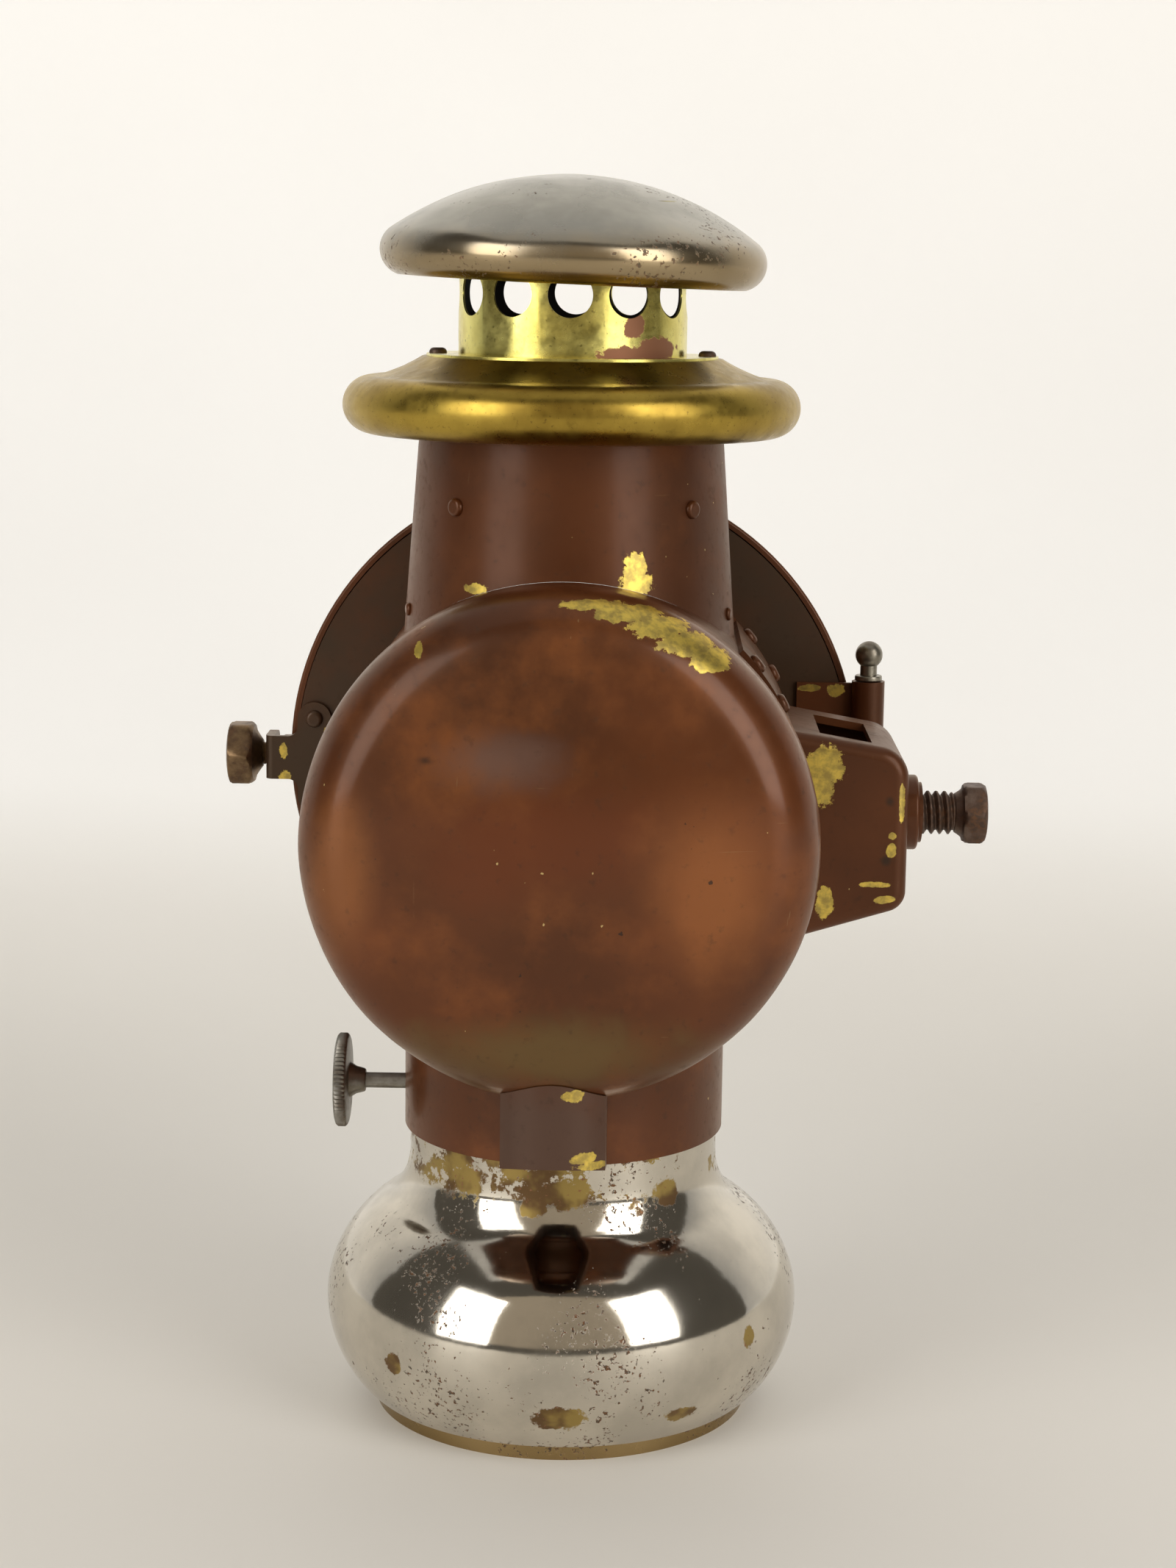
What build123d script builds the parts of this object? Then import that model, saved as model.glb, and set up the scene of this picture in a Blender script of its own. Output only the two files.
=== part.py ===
from build123d import *

import math
import os

# Oil side lamp for an early motor car or carriage.
# Millimetres. +Z is up, the origin is the centre of the foot on the surface it stands on.
# The lens faces -Y, the domed back faces +Y, the bracket socket and the door hinge are at -X,
# and the door latch and the wick wheel are at +X.

# Driving dimensions: sheet metal and clearances
SHEET = 0.8
RUNNING_GAP = 0.06
FREE_GAP = 0.4

# Fount (the oil reservoir) and its foot
FOOT_RADIUS = 44.6
FOOT_WALL = 2.2
FOOT_HEIGHT = 4.2
BOWL_CENTRE_RADIUS = 25.35
BOWL_CENTRE_Z = 24.9
BOWL_HALF_WIDTH = 31.15
BOWL_HALF_HEIGHT = 29.1
NECK_RADIUS = 36.6
NECK_FLARE_START_ANGLE = 56.0
NECK_FLARE_END_Z = 61.5
NECK_TOP_Z = 73.8
FOUNT_TOP_Z = 71.2

# Burner
BURNER_RADIUS = 12.5
BURNER_FLANGE_RADIUS = 17.0
BURNER_TOP_Z = 86.0
WICK_Y = -5.2
WICK_WIDTH = 16.0
WICK_THICKNESS = 2.4
WICK_BOTTOM_Z = 12.0
WICK_TOP_Z = 113.5
WICK_TUBE_TOP_Z = 107.0
CONE_RADIUS = 15.5
CONE_TOP_Z = 111.0
SPINDLE_Z = 76.7
SPINDLE_RADIUS = 1.85
SPROCKET_RADIUS = 3.9
SPROCKET_THICKNESS = 1.6
SPROCKET_SPACING = 8.0
KNOB_RADIUS = 11.2
KNOB_THICKNESS = 3.0
KNOB_OUTER_X = 54.5
KNOB_HUB_LENGTH = 4.0
FILLER_ORBIT = 26.0
FILLER_ANGLE = 135.0
FILLER_CAP_RADIUS = 7.4

# Drum, along Y through the optic axis
OPTIC_Z = 147.2
DRUM_RADIUS = 54.0
DRUM_BACK_Y = 57.0
FLANGE_BACK_Y = -51.0
FLANGE_THICKNESS = 1.2
FLANGE_RADIUS = 69.6
DOME_RADIUS = 56.0
DOME_EDGE_Y = 64.0
DOME_EDGE_ROUND = 14.5
DOME_APEX_Y = 82.5
DOME_LIP_RADIUS = 54.7
DOME_BEAD_RADIUS = 0.8
REFLECTOR_RIM_Y = 55.0
REFLECTOR_APEX_Y = 74.0
REFLECTOR_SHEET = 0.6

# Lower collar, air scoop and chimney
COLLAR_RADIUS = 37.9
COLLAR_BOTTOM_Z = 68.0
SCOOP_X = 0.5
SCOOP_WIDTH = 22.8
SCOOP_BOTTOM_Z = 68.4
SCOOP_BOTTOM_SLOPE = 0.275
SCOOP_BULGE_CENTRE_Y = 60.6
SCOOP_BULGE_RADIUS = 15.4
AIR_INLET_RADIUS = 7.5
AIR_INLET_Z = 80.5
CHIMNEY_RADIUS = 38.1
CHIMNEY_RADIUS_Z = 190.0
CHIMNEY_TAPER = 0.0737
CHIMNEY_BOTTOM_Z = 184.0
CHIMNEY_TOP_Z = 233.5
FLUE_RADIUS = 23.0
FLUE_BOTTOM_Z = 206.0

# Crown ring, vent collar and hood
CROWN_TOP_Z = 249.0
CROWN_PLATEAU_RADIUS = 34.5
CROWN_ROLL_RADIUS = 6.5
CROWN_ROLL_CENTRE = (46.2, 238.0)
VENT_RADIUS = 26.2
VENT_SHEET = 0.7
VENT_FLANGE_RADIUS = 33.5
VENT_HOLES = 12
VENT_HOLE_RADIUS = 5.0
VENT_HOLE_Z = 263.3
VENT_TOP_Z = 284.1
HOOD_TOP_Z = 290.2
HOOD_CROWN_RADIUS = 71.0
HOOD_RIM_RADIUS = 6.0
HOOD_RIM_CENTRE = (38.2, 271.8)

# Bracket socket and its clamp
SOCKET_HALF_DEPTH = 22.0
SOCKET_WALL = 1.8
SOCKET_OUTLINE = [(-50.0, 166.6), (-78.4, 161.6), (-78.4, 125.6), (-50.0, 117.0)]
SOCKET_TOP_ROUND = 7.5
SOCKET_BOTTOM_ROUND = 5.0
SOCKET_EDGE_ROUND = 3.0
SLOT_X = (-70.0, -58.0)
SLOT_Y = (-12.0, 16.0)
SADDLE_THICKNESS = 1.2
SADDLE_HALF_ANGLE = 44.0
SADDLE_HALF_DEPTH = 28.0
CLAMP_Z = 144.2
CLAMP_RADIUS = 5.1
CLAMP_HEAD_X = -92.9
CLAMP_HEAD_LENGTH = 5.5
CLAMP_HEAD_FLATS = 13.4
CLAMP_NECK_LENGTH = 1.9
BOSS_RADIUS = 8.8
BOSS_END_X = -82.2
BOSS_SHOULDER_RADIUS = 7.1
BOSS_SHOULDER_X = -83.1
PAD_RADIUS = 6.5
PAD_X = (-72.4, -70.2)
PIVOT_RADIUS = 2.5

# Door, lens and hinge
DOOR_RADIUS = 70.9
DOOR_BACK_Y = -52.6
DOOR_FRONT_Y = -61.0
DOOR_SHEET = 1.0
GLASS_RADIUS = 58.2
GLASS_BACK_Y = -62.5
GLASS_EDGE = 3.0
GLASS_CROWN = 8.0
GLASS_OPENING_RADIUS = 56.2
HINGE_X = -73.7
HINGE_Y = -48.3
HINGE_RADIUS = 4.1
HINGE_PIN_RADIUS = 1.5
HINGE_TOP_Z = 168.4
HINGE_BOTTOM_Z = 126.0
KNUCKLE = 13.0
HINGE_LEAF_INNER_X = -56.0
HINGE_BALL_RADIUS = 3.4
HINGE_BALL_Z = 175.0

# Door latch
LATCH_Z = 146.4
LATCH_Y = -56.6
LATCH_WIDTH = 11.0
LATCH_INNER_X = 57.5
LATCH_LEG_X = (75.4, 77.6)
LATCH_BEND_ROUND = 1.9
LATCH_EAR_X = 65.2
LATCH_EAR_RADIUS = 4.2
LATCH_EAR_SPACING = 20.0
LUG_OUTER_X = 74.6
LATCH_SCREW_RADIUS = 3.0
LATCH_HEAD_X = 81.1
LATCH_HEAD_LENGTH = 6.6
LATCH_HEAD_FLATS = 15.0
LATCH_NECK_LENGTH = 2.1

STANDING = (Align.CENTER, Align.CENTER, Align.MIN)
parts = {}


def keep(name, *solids):
    """Store the solids of one named sub-part."""
    parts[name] = solids[0] if len(solids) == 1 else Compound(children=list(solids))


def post(radius, low, high, x=0.0, y=0.0):
    """A round bar along Z."""
    return Pos(x, y, low) * Cylinder(radius, high - low, align=STANDING)


def bar_x(radius, low, high, y=0.0, z=0.0):
    """A round bar along X."""
    return Pos(low, y, z) * Rot(0, 90, 0) * Cylinder(radius, high - low, align=STANDING)


def bar_y(radius, low, high, x=0.0, z=OPTIC_Z):
    """A round bar along Y, on the optic axis unless it is placed elsewhere."""
    return Pos(x, low, z) * Rot(-90, 0, 0) * Cylinder(radius, high - low, align=STANDING)


def block(x, y, z):
    """A box between two limits on each axis."""
    size = [high - low for low, high in (x, y, z)]
    middle = [(high + low) / 2 for low, high in (x, y, z)]
    return Pos(*middle) * Box(*size)


def turned(outline):
    """The solid that a closed outline, drawn as radius and height, sweeps about Z."""
    return revolve(Plane.XZ * make_face(outline), Axis.Z)


def on_optic(shape):
    """Turn a shape made about Z so that its height runs along +Y on the optic axis."""
    return Pos(0, 0, OPTIC_Z) * Rot(-90, 0, 0) * shape


def polygon(*points):
    """A closed outline with straight sides."""
    return Polyline(*points, close=True)


def tube(outer, inner, low, high):
    """A plain ring or tube about Z."""
    return turned(polygon((inner, low), (outer, low), (outer, high), (inner, high)))


def arc_point(centre, radius, angle):
    """A point on a circle, with the angle in degrees."""
    turn = math.radians(angle)
    return (centre[0] + radius * math.cos(turn), centre[1] + radius * math.sin(turn))


def domed(radius, low, high, rounding):
    """A round bar along Z whose top edge is rounded into a dome."""
    bar = post(radius, low, high)
    return fillet(bar.edges().group_by(Axis.Z)[-1], rounding)


def rivet(radius, height, origin, direction):
    """A domed rivet head that stands on a surface."""
    return Plane(origin=origin, z_dir=direction) * domed(radius, 0, height, 0.9 * height)


def hex_head(flats, low, high, y, z, chamfer_radius):
    """A hexagonal bolt head along X, with its corners chamfered to a circle."""
    corner = flats / math.sqrt(3)
    prism = Pos(low, y, z) * Rot(0, 90, 0) * extrude(RegularPolygon(corner, 6), high - low)
    bevel = corner - chamfer_radius
    cone = turned(
        polygon(
            (0, 0),
            (chamfer_radius, 0),
            (corner, bevel * 0.6),
            (corner, high - low - bevel * 0.6),
            (chamfer_radius, high - low),
            (0, high - low),
        )
    )
    return prism & (Pos(low, y, z) * Rot(0, 90, 0) * cone)


# Fount


def bowl_form(inset, floor_z, top_z):
    """The bowl's solid form, set in from the outside by the inset."""
    half_width = BOWL_HALF_WIDTH - inset
    half_height = BOWL_HALF_HEIGHT - inset
    neck = NECK_RADIUS - inset

    def meridian(angle):
        turn = math.radians(angle)
        x = BOWL_CENTRE_RADIUS + half_width * math.cos(turn)
        return (x, BOWL_CENTRE_Z + half_height * math.sin(turn))

    floor_angle = math.degrees(math.asin((floor_z - BOWL_CENTRE_Z) / half_height))
    flare_angle = NECK_FLARE_START_ANGLE
    side = EllipticalCenterArc(
        (BOWL_CENTRE_RADIUS, BOWL_CENTRE_Z),
        half_width,
        half_height,
        start_angle=floor_angle,
        arc_size=flare_angle - floor_angle,
    )
    start = side @ 1
    heading = side % 1
    flare = Spline(start, (neck, NECK_FLARE_END_Z), tangents=(heading, (0, 1)))
    foot = side @ 0
    outline = (
        Line((0, floor_z), foot)
        + side
        + flare
        + Line((neck, NECK_FLARE_END_Z), (neck, top_z))
        + Line((neck, top_z), (0, top_z))
        + Line((0, top_z), (0, floor_z))
    )
    return turned(outline)


def filler_position():
    """Centre of the filler on the fount's top."""
    return arc_point((0, 0), FILLER_ORBIT, FILLER_ANGLE)


def make_fount():
    """Foot, bowl, top plate, filler neck and screw cap."""
    keep("foot_ring", tube(FOOT_RADIUS, FOOT_RADIUS - FOOT_WALL, 0, FOOT_HEIGHT))
    floor_z = FOOT_HEIGHT
    outside = bowl_form(0, floor_z, NECK_TOP_Z)
    inside = bowl_form(SHEET, floor_z + SHEET, NECK_TOP_Z + 1)
    keep("fount_bowl", outside - inside)

    fill_x, fill_y = filler_position()
    neck_hole = post(5.6, FOUNT_TOP_Z - 1, FOUNT_TOP_Z + 2, fill_x, fill_y)
    plate = post(NECK_RADIUS - SHEET, FOUNT_TOP_Z, FOUNT_TOP_Z + SHEET)
    burner_hole = post(BURNER_RADIUS, FOUNT_TOP_Z - 1, FOUNT_TOP_Z + 2)
    keep("fount_top", plate - burner_hole - neck_hole)

    neck_low = FOUNT_TOP_Z + SHEET
    filler_neck = post(5.6, FOUNT_TOP_Z - 4, neck_low + 4, fill_x, fill_y)
    filler_bore = post(4.6, FOUNT_TOP_Z - 5, neck_low + 5, fill_x, fill_y)
    keep("filler_neck", filler_neck - filler_bore)
    cap_low = neck_low + 0.3
    cap = post(FILLER_CAP_RADIUS, cap_low, cap_low + 5.5, fill_x, fill_y)
    cap_hollow = post(5.6 + RUNNING_GAP, cap_low - 1, cap_low + 4.2, fill_x, fill_y)
    cap_grip = [
        post(0.7, cap_low - 1, cap_low + 7, fill_x + dx, fill_y + dy)
        for dx, dy in [arc_point((0, 0), FILLER_CAP_RADIUS + 0.2, 30 * k) for k in range(12)]
    ]
    cap = fillet(cap.edges().group_by(Axis.Z)[-1], 0.6)
    keep("filler_cap", cap - cap_hollow - cap_grip)


def make_burner():
    """Burner body, wick tube, draught cone, wick and winder."""
    low = FOUNT_TOP_Z
    flange_low = FOUNT_TOP_Z + SHEET
    body = post(BURNER_RADIUS - 0.02, low - 5, BURNER_TOP_Z)
    body += post(BURNER_FLANGE_RADIUS, flange_low, flange_low + 1.2)
    body -= post(BURNER_RADIUS - SHEET, low - 6, BURNER_TOP_Z - SHEET)
    tube_x = WICK_WIDTH / 2 + 0.3 + 0.5
    tube_y = WICK_THICKNESS / 2 + 0.3 + 0.5
    body -= block((-tube_x, tube_x), (WICK_Y - tube_y, WICK_Y + tube_y), (low, BURNER_TOP_Z + 1))
    body -= bar_x(SPINDLE_RADIUS + RUNNING_GAP, 0, BURNER_RADIUS + 2, z=SPINDLE_Z)
    body -= bar_x(SPINDLE_RADIUS + RUNNING_GAP, -BURNER_RADIUS - 2, 0, z=SPINDLE_Z)
    keep("burner_body", body)

    sleeve = block(
        (-tube_x, tube_x), (WICK_Y - tube_y, WICK_Y + tube_y), (low - 3, WICK_TUBE_TOP_Z)
    )
    bore_x = tube_x - 0.5
    bore_y = tube_y - 0.5
    bore = block(
        (-bore_x, bore_x), (WICK_Y - bore_y, WICK_Y + bore_y), (low - 4, WICK_TUBE_TOP_Z + 1)
    )
    window = block(
        (-SPROCKET_SPACING, SPROCKET_SPACING),
        (WICK_Y + bore_y - 0.1, WICK_Y + tube_y + 0.1),
        (SPINDLE_Z - 4.6, SPINDLE_Z + 4.6),
    )
    keep("wick_tube", sleeve - bore - window)

    cone_low = BURNER_TOP_Z
    inner_radius = CONE_RADIUS - SHEET
    outer = domed(CONE_RADIUS, cone_low, CONE_TOP_Z, CONE_RADIUS - 0.5)
    inner = domed(inner_radius, cone_low - 1, CONE_TOP_Z - SHEET, inner_radius - 0.5)
    slot = block((-10.5, 10.5), (WICK_Y - 3.6, WICK_Y + 3.6), (cone_low + 8, CONE_TOP_Z + 1))
    air_holes = [
        Rot(0, 0, 30 * k) * bar_x(1.6, 5, CONE_RADIUS + 4, z=cone_low + 5) for k in range(12)
    ]
    keep("draught_cone", outer - inner - slot - air_holes)

    wick_x = WICK_WIDTH / 2
    wick_y = WICK_THICKNESS / 2
    keep(
        "wick",
        block(
            (-wick_x, wick_x), (WICK_Y - wick_y, WICK_Y + wick_y), (WICK_BOTTOM_Z, WICK_TOP_Z)
        ),
    )


def make_winder():
    """Wick spindle, its two toothed wheels and the milled hand wheel."""
    knob_inner_x = KNOB_OUTER_X - KNOB_THICKNESS
    spindle_end = KNOB_OUTER_X + 0.8
    keep("wick_spindle", bar_x(SPINDLE_RADIUS, -BURNER_RADIUS - 1.5, spindle_end, z=SPINDLE_Z))

    wheels = []
    teeth = 10
    for side in (-1, 1):
        centre = side * SPROCKET_SPACING / 2
        low = centre - SPROCKET_THICKNESS / 2
        high = centre + SPROCKET_THICKNESS / 2
        wheel = bar_x(SPROCKET_RADIUS, low, high, z=SPINDLE_Z)
        for k in range(teeth):
            dy, dz = arc_point((0, 0), SPROCKET_RADIUS, 360 * (k + 0.5) / teeth)
            wheel -= bar_x(0.75, low - 1, high + 1, dy, SPINDLE_Z + dz)
        wheel -= bar_x(SPINDLE_RADIUS, low - 1, high + 1, z=SPINDLE_Z)
        wheels.append(wheel)
    keep("wick_sprockets", *wheels)

    disc = bar_x(KNOB_RADIUS, knob_inner_x, KNOB_OUTER_X, z=SPINDLE_Z)
    disc = fillet(disc.edges(), 0.5)
    recess = bar_x(KNOB_RADIUS - 2.2, KNOB_OUTER_X - 0.6, KNOB_OUTER_X + 1, z=SPINDLE_Z)
    hub_high = KNOB_HUB_LENGTH + 1
    hub = turned(polygon((0, 0), (2.6, 0), (4.2, KNOB_HUB_LENGTH), (4.2, hub_high), (0, hub_high)))
    hub = Pos(knob_inner_x - KNOB_HUB_LENGTH, 0, SPINDLE_Z) * Rot(0, 90, 0) * hub
    bore = bar_x(SPINDLE_RADIUS, knob_inner_x - 9, KNOB_OUTER_X + 2, z=SPINDLE_Z)
    keep("wick_knob", disc + hub - recess - bore)


# Lamp body


def dome_form(inset, start_y):
    """The back dome's solid form about Z, set in from the outside by the inset."""
    edge_centre = (DOME_RADIUS - DOME_EDGE_ROUND, DOME_EDGE_Y)
    rise = DOME_APEX_Y - DOME_EDGE_Y
    crown = (edge_centre[0] ** 2 + rise**2 - DOME_EDGE_ROUND**2) / (
        2 * (rise - DOME_EDGE_ROUND)
    )
    crown_centre = (0.0, DOME_APEX_Y - crown)
    tangent = math.degrees(math.atan2(edge_centre[1] - crown_centre[1], edge_centre[0]))
    edge_round = DOME_EDGE_ROUND - inset
    crown_round = crown - inset
    side_top = arc_point(edge_centre, edge_round, 0)
    shoulder = arc_point(edge_centre, edge_round, tangent / 2)
    joint = arc_point(edge_centre, edge_round, tangent)
    middle = arc_point(crown_centre, crown_round, (tangent + 90) / 2)
    apex = arc_point(crown_centre, crown_round, 90)
    outline = (
        Line((0, start_y), (DOME_RADIUS - inset, start_y))
        + Line((DOME_RADIUS - inset, start_y), side_top)
        + ThreePointArc(side_top, shoulder, joint)
        + ThreePointArc(joint, middle, apex)
        + Line(apex, (0, start_y))
    )
    return turned(outline)


def make_drum():
    """Drum, back dome, reflector and front flange."""
    flange_front_y = FLANGE_BACK_Y - FLANGE_THICKNESS
    drum = bar_y(DRUM_RADIUS, flange_front_y, DRUM_BACK_Y)
    drum -= bar_y(DRUM_RADIUS - SHEET, flange_front_y - 1, DRUM_BACK_Y + 1)
    drum -= post(chimney_radius(CHIMNEY_BOTTOM_Z) - SHEET, OPTIC_Z, CHIMNEY_TOP_Z)
    drum -= post(COLLAR_RADIUS - SHEET, COLLAR_BOTTOM_Z, OPTIC_Z)
    keep("drum_shell", drum)

    lip_y = DRUM_BACK_Y - 2
    step_y = DRUM_BACK_Y + 1.4
    shell = dome_form(0, step_y) - dome_form(SHEET, step_y - 1)
    shell += tube(DOME_RADIUS, DRUM_RADIUS, step_y, step_y + SHEET)
    shell += tube(DOME_LIP_RADIUS, DRUM_RADIUS, lip_y, step_y + SHEET)
    bead = Pos(0, 0, DRUM_BACK_Y + 0.4) * Torus(DOME_LIP_RADIUS - 0.4, DOME_BEAD_RADIUS)
    shell += bead - post(DRUM_RADIUS, lip_y, step_y)
    keep("back_dome", on_optic(shell))

    rim = DRUM_RADIUS - SHEET
    sag = REFLECTOR_APEX_Y - REFLECTOR_RIM_Y
    curve = (rim**2 + sag**2) / (2 * sag)
    centre = (0, REFLECTOR_APEX_Y - curve)
    rim_angle = math.degrees(math.asin((REFLECTOR_RIM_Y - centre[1]) / curve))
    back = ThreePointArc(
        (0, REFLECTOR_APEX_Y), arc_point(centre, curve, (90 + rim_angle) / 2), (rim, REFLECTOR_RIM_Y)
    )
    down = (0, -REFLECTOR_SHEET)
    front = Pos(*down) * back
    dish = turned(back + Line(back @ 1, front @ 1) + front + Line(front @ 0, back @ 0))
    keep("reflector", on_optic(dish))

    flange = bar_y(FLANGE_RADIUS, flange_front_y, FLANGE_BACK_Y)
    keep("front_flange", flange - bar_y(DRUM_RADIUS, flange_front_y - 1, FLANGE_BACK_Y + 1))


def spindle_gate():
    """The open-bottomed notch that lets the wick spindle drop out of the collar."""
    half = SPINDLE_RADIUS + FREE_GAP
    top = SPINDLE_Z
    slot = block((20, COLLAR_RADIUS + 3), (-half, half), (COLLAR_BOTTOM_Z - 5, top))
    return slot + bar_x(half, 20, COLLAR_RADIUS + 3, z=top)


def make_collar():
    """Lower collar, its inner stop ring and the air scoop on its back."""
    drum = bar_y(DRUM_RADIUS, -DRUM_RADIUS, DRUM_RADIUS + 10)
    ring = tube(COLLAR_RADIUS, COLLAR_RADIUS - SHEET, COLLAR_BOTTOM_Z, OPTIC_Z - 30)
    inlet = bar_y(AIR_INLET_RADIUS, 20, 45, x=SCOOP_X, z=AIR_INLET_Z)
    keep("lower_collar", ring - drum - spindle_gate() - inlet)
    stop_low = NECK_TOP_Z + 0.3
    stop = tube(COLLAR_RADIUS - SHEET, COLLAR_RADIUS - SHEET - 2.4, stop_low, stop_low + 1.0)
    keep("collar_stop_ring", stop - spindle_gate())

    below = Plane.YZ * make_face(
        polygon(
            (0, 0),
            (100, 0),
            (100, scoop_bottom(100)),
            (0, scoop_bottom(0)),
        )
    )
    below = Pos(-50, 0, 0) * extrude(below, 100)
    scoop = scoop_form(0) - scoop_form(SHEET) - below
    scoop -= post(COLLAR_RADIUS, 0, OPTIC_Z)
    keep("air_scoop", scoop - drum - on_optic(dome_form(0, DRUM_BACK_Y - 2)))


def scoop_bottom(y):
    """Height of the scoop's slanted mouth, which rises towards the back."""
    return SCOOP_BOTTOM_Z + SCOOP_BOTTOM_SLOPE * (y - COLLAR_RADIUS)


def scoop_form(inset):
    """The scoop's upright prism with a bulged back, set in from the outside by the inset."""
    half = SCOOP_WIDTH / 2 - inset
    top = OPTIC_Z - DRUM_RADIUS + SCOOP_BULGE_RADIUS
    prism = block((SCOOP_X - half, SCOOP_X + half), (0, 90), (0, top))
    bulge = post(SCOOP_BULGE_RADIUS - inset, 0, top, SCOOP_X, SCOOP_BULGE_CENTRE_Y)
    bulge += block((SCOOP_X - 30, SCOOP_X + 30), (0, SCOOP_BULGE_CENTRE_Y), (0, top))
    return prism & bulge


def chimney_radius(z):
    """Outer radius of the tapered chimney at a height."""
    return CHIMNEY_RADIUS - CHIMNEY_TAPER * (z - CHIMNEY_RADIUS_Z)


def make_chimney():
    """Tapered chimney, the inner flue and the chimney's rivets."""
    low, high = CHIMNEY_BOTTOM_Z, CHIMNEY_TOP_Z
    shell = turned(
        polygon(
            (chimney_radius(low) - SHEET, low),
            (chimney_radius(low), low),
            (chimney_radius(high), high),
            (chimney_radius(high) - SHEET, high),
        )
    )
    keep("chimney_shell", shell - bar_y(DRUM_RADIUS, -DRUM_RADIUS, DRUM_BACK_Y))

    flue_top = CROWN_TOP_Z - SHEET
    flue = tube(FLUE_RADIUS, FLUE_RADIUS - SHEET, FLUE_BOTTOM_Z, flue_top)
    flue += tube(FLUE_RADIUS + 7, FLUE_RADIUS - SHEET, flue_top - SHEET, flue_top)
    keep("inner_flue", flue)

    heads = []
    for z, radius, height, x_places in (
        (216.3, 2.1, 1.1, (-27.7, 24.9)),
        (191.5, 1.5, 0.8, (-36.6, 36.6)),
    ):
        wall = chimney_radius(z)
        for x in x_places:
            for side in (-1, 1):
                y = side * math.sqrt(wall**2 - x**2)
                heads.append(rivet(radius, height, (x, y, z), (x, y, 0)))
    keep("chimney_rivets", *heads)


def make_crown():
    """Rolled crown ring, vent collar, hood and the crown's rivets."""
    inner = VENT_RADIUS - VENT_SHEET
    roll = CROWN_ROLL_RADIUS
    centre = CROWN_ROLL_CENTRE
    lip = chimney_radius(CHIMNEY_TOP_Z) + 0.4
    outer_start = arc_point(centre, roll, 100)
    inner_start = arc_point(centre, roll - SHEET, 100)
    outer_end = arc_point(centre, roll, -90)
    inner_end = arc_point(centre, roll - SHEET, -90)
    plateau = (CROWN_PLATEAU_RADIUS, CROWN_TOP_Z)
    plateau_under = (CROWN_PLATEAU_RADIUS - 0.3, CROWN_TOP_Z - SHEET)
    cove = (39.5, 246.4)
    cove_under = (39.2, 246.4 - SHEET)
    outline = (
        Line((inner, CROWN_TOP_Z), plateau)
        + ThreePointArc(plateau, cove, outer_start)
        + ThreePointArc(outer_start, arc_point(centre, roll, 5), outer_end)
        + Line(outer_end, (lip, outer_end[1]))
        + Line((lip, outer_end[1]), (lip, inner_end[1]))
        + Line((lip, inner_end[1]), inner_end)
        + ThreePointArc(inner_end, arc_point(centre, roll - SHEET, 5), inner_start)
        + ThreePointArc(inner_start, cove_under, plateau_under)
        + Line(plateau_under, (inner, CROWN_TOP_Z - SHEET))
        + Line((inner, CROWN_TOP_Z - SHEET), (inner, CROWN_TOP_Z))
    )
    keep("crown_ring", turned(outline))

    collar = tube(VENT_RADIUS, inner, CROWN_TOP_Z, VENT_TOP_Z)
    collar += tube(VENT_FLANGE_RADIUS, inner, CROWN_TOP_Z, CROWN_TOP_Z + 0.6)
    step = 360 / VENT_HOLES
    collar -= [
        Rot(0, 0, 90 + step * k) * bar_x(VENT_HOLE_RADIUS, 10, VENT_RADIUS + 5, z=VENT_HOLE_Z)
        for k in range(VENT_HOLES)
    ]
    keep("vent_collar", collar)
    keep("hood", make_hood())
    keep(
        "crown_rivets",
        *[
            rivet(2.05, 1.2, (side * (VENT_FLANGE_RADIUS - 2.6), 0, CROWN_TOP_Z + 0.6), (0, 0, 1))
            for side in (-1, 1)
        ],
    )


def make_hood():
    """Mushroom hood: a shallow cap with a rolled rim."""
    crown_centre = (0, HOOD_TOP_Z - HOOD_CROWN_RADIUS)
    rim = HOOD_RIM_CENTRE
    lean = math.degrees(math.atan2(rim[1] - crown_centre[1], rim[0]))

    def skin(inset):
        top = arc_point(crown_centre, HOOD_CROWN_RADIUS - inset, 90)
        brow = arc_point(crown_centre, HOOD_CROWN_RADIUS - inset, (90 + lean) / 2)
        joint = arc_point(rim, HOOD_RIM_RADIUS - inset, lean)
        side = arc_point(rim, HOOD_RIM_RADIUS - inset, -15)
        foot = arc_point(rim, HOOD_RIM_RADIUS - inset, -72)
        return ThreePointArc(top, brow, joint), ThreePointArc(joint, side, foot)

    cap, curl = skin(0)
    cap_in, curl_in = skin(SHEET)
    outline = (
        cap + curl + Line(curl @ 1, curl_in @ 1) + curl_in + cap_in + Line(cap_in @ 0, cap @ 0)
    )
    return turned(outline)


# Bracket socket


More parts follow.
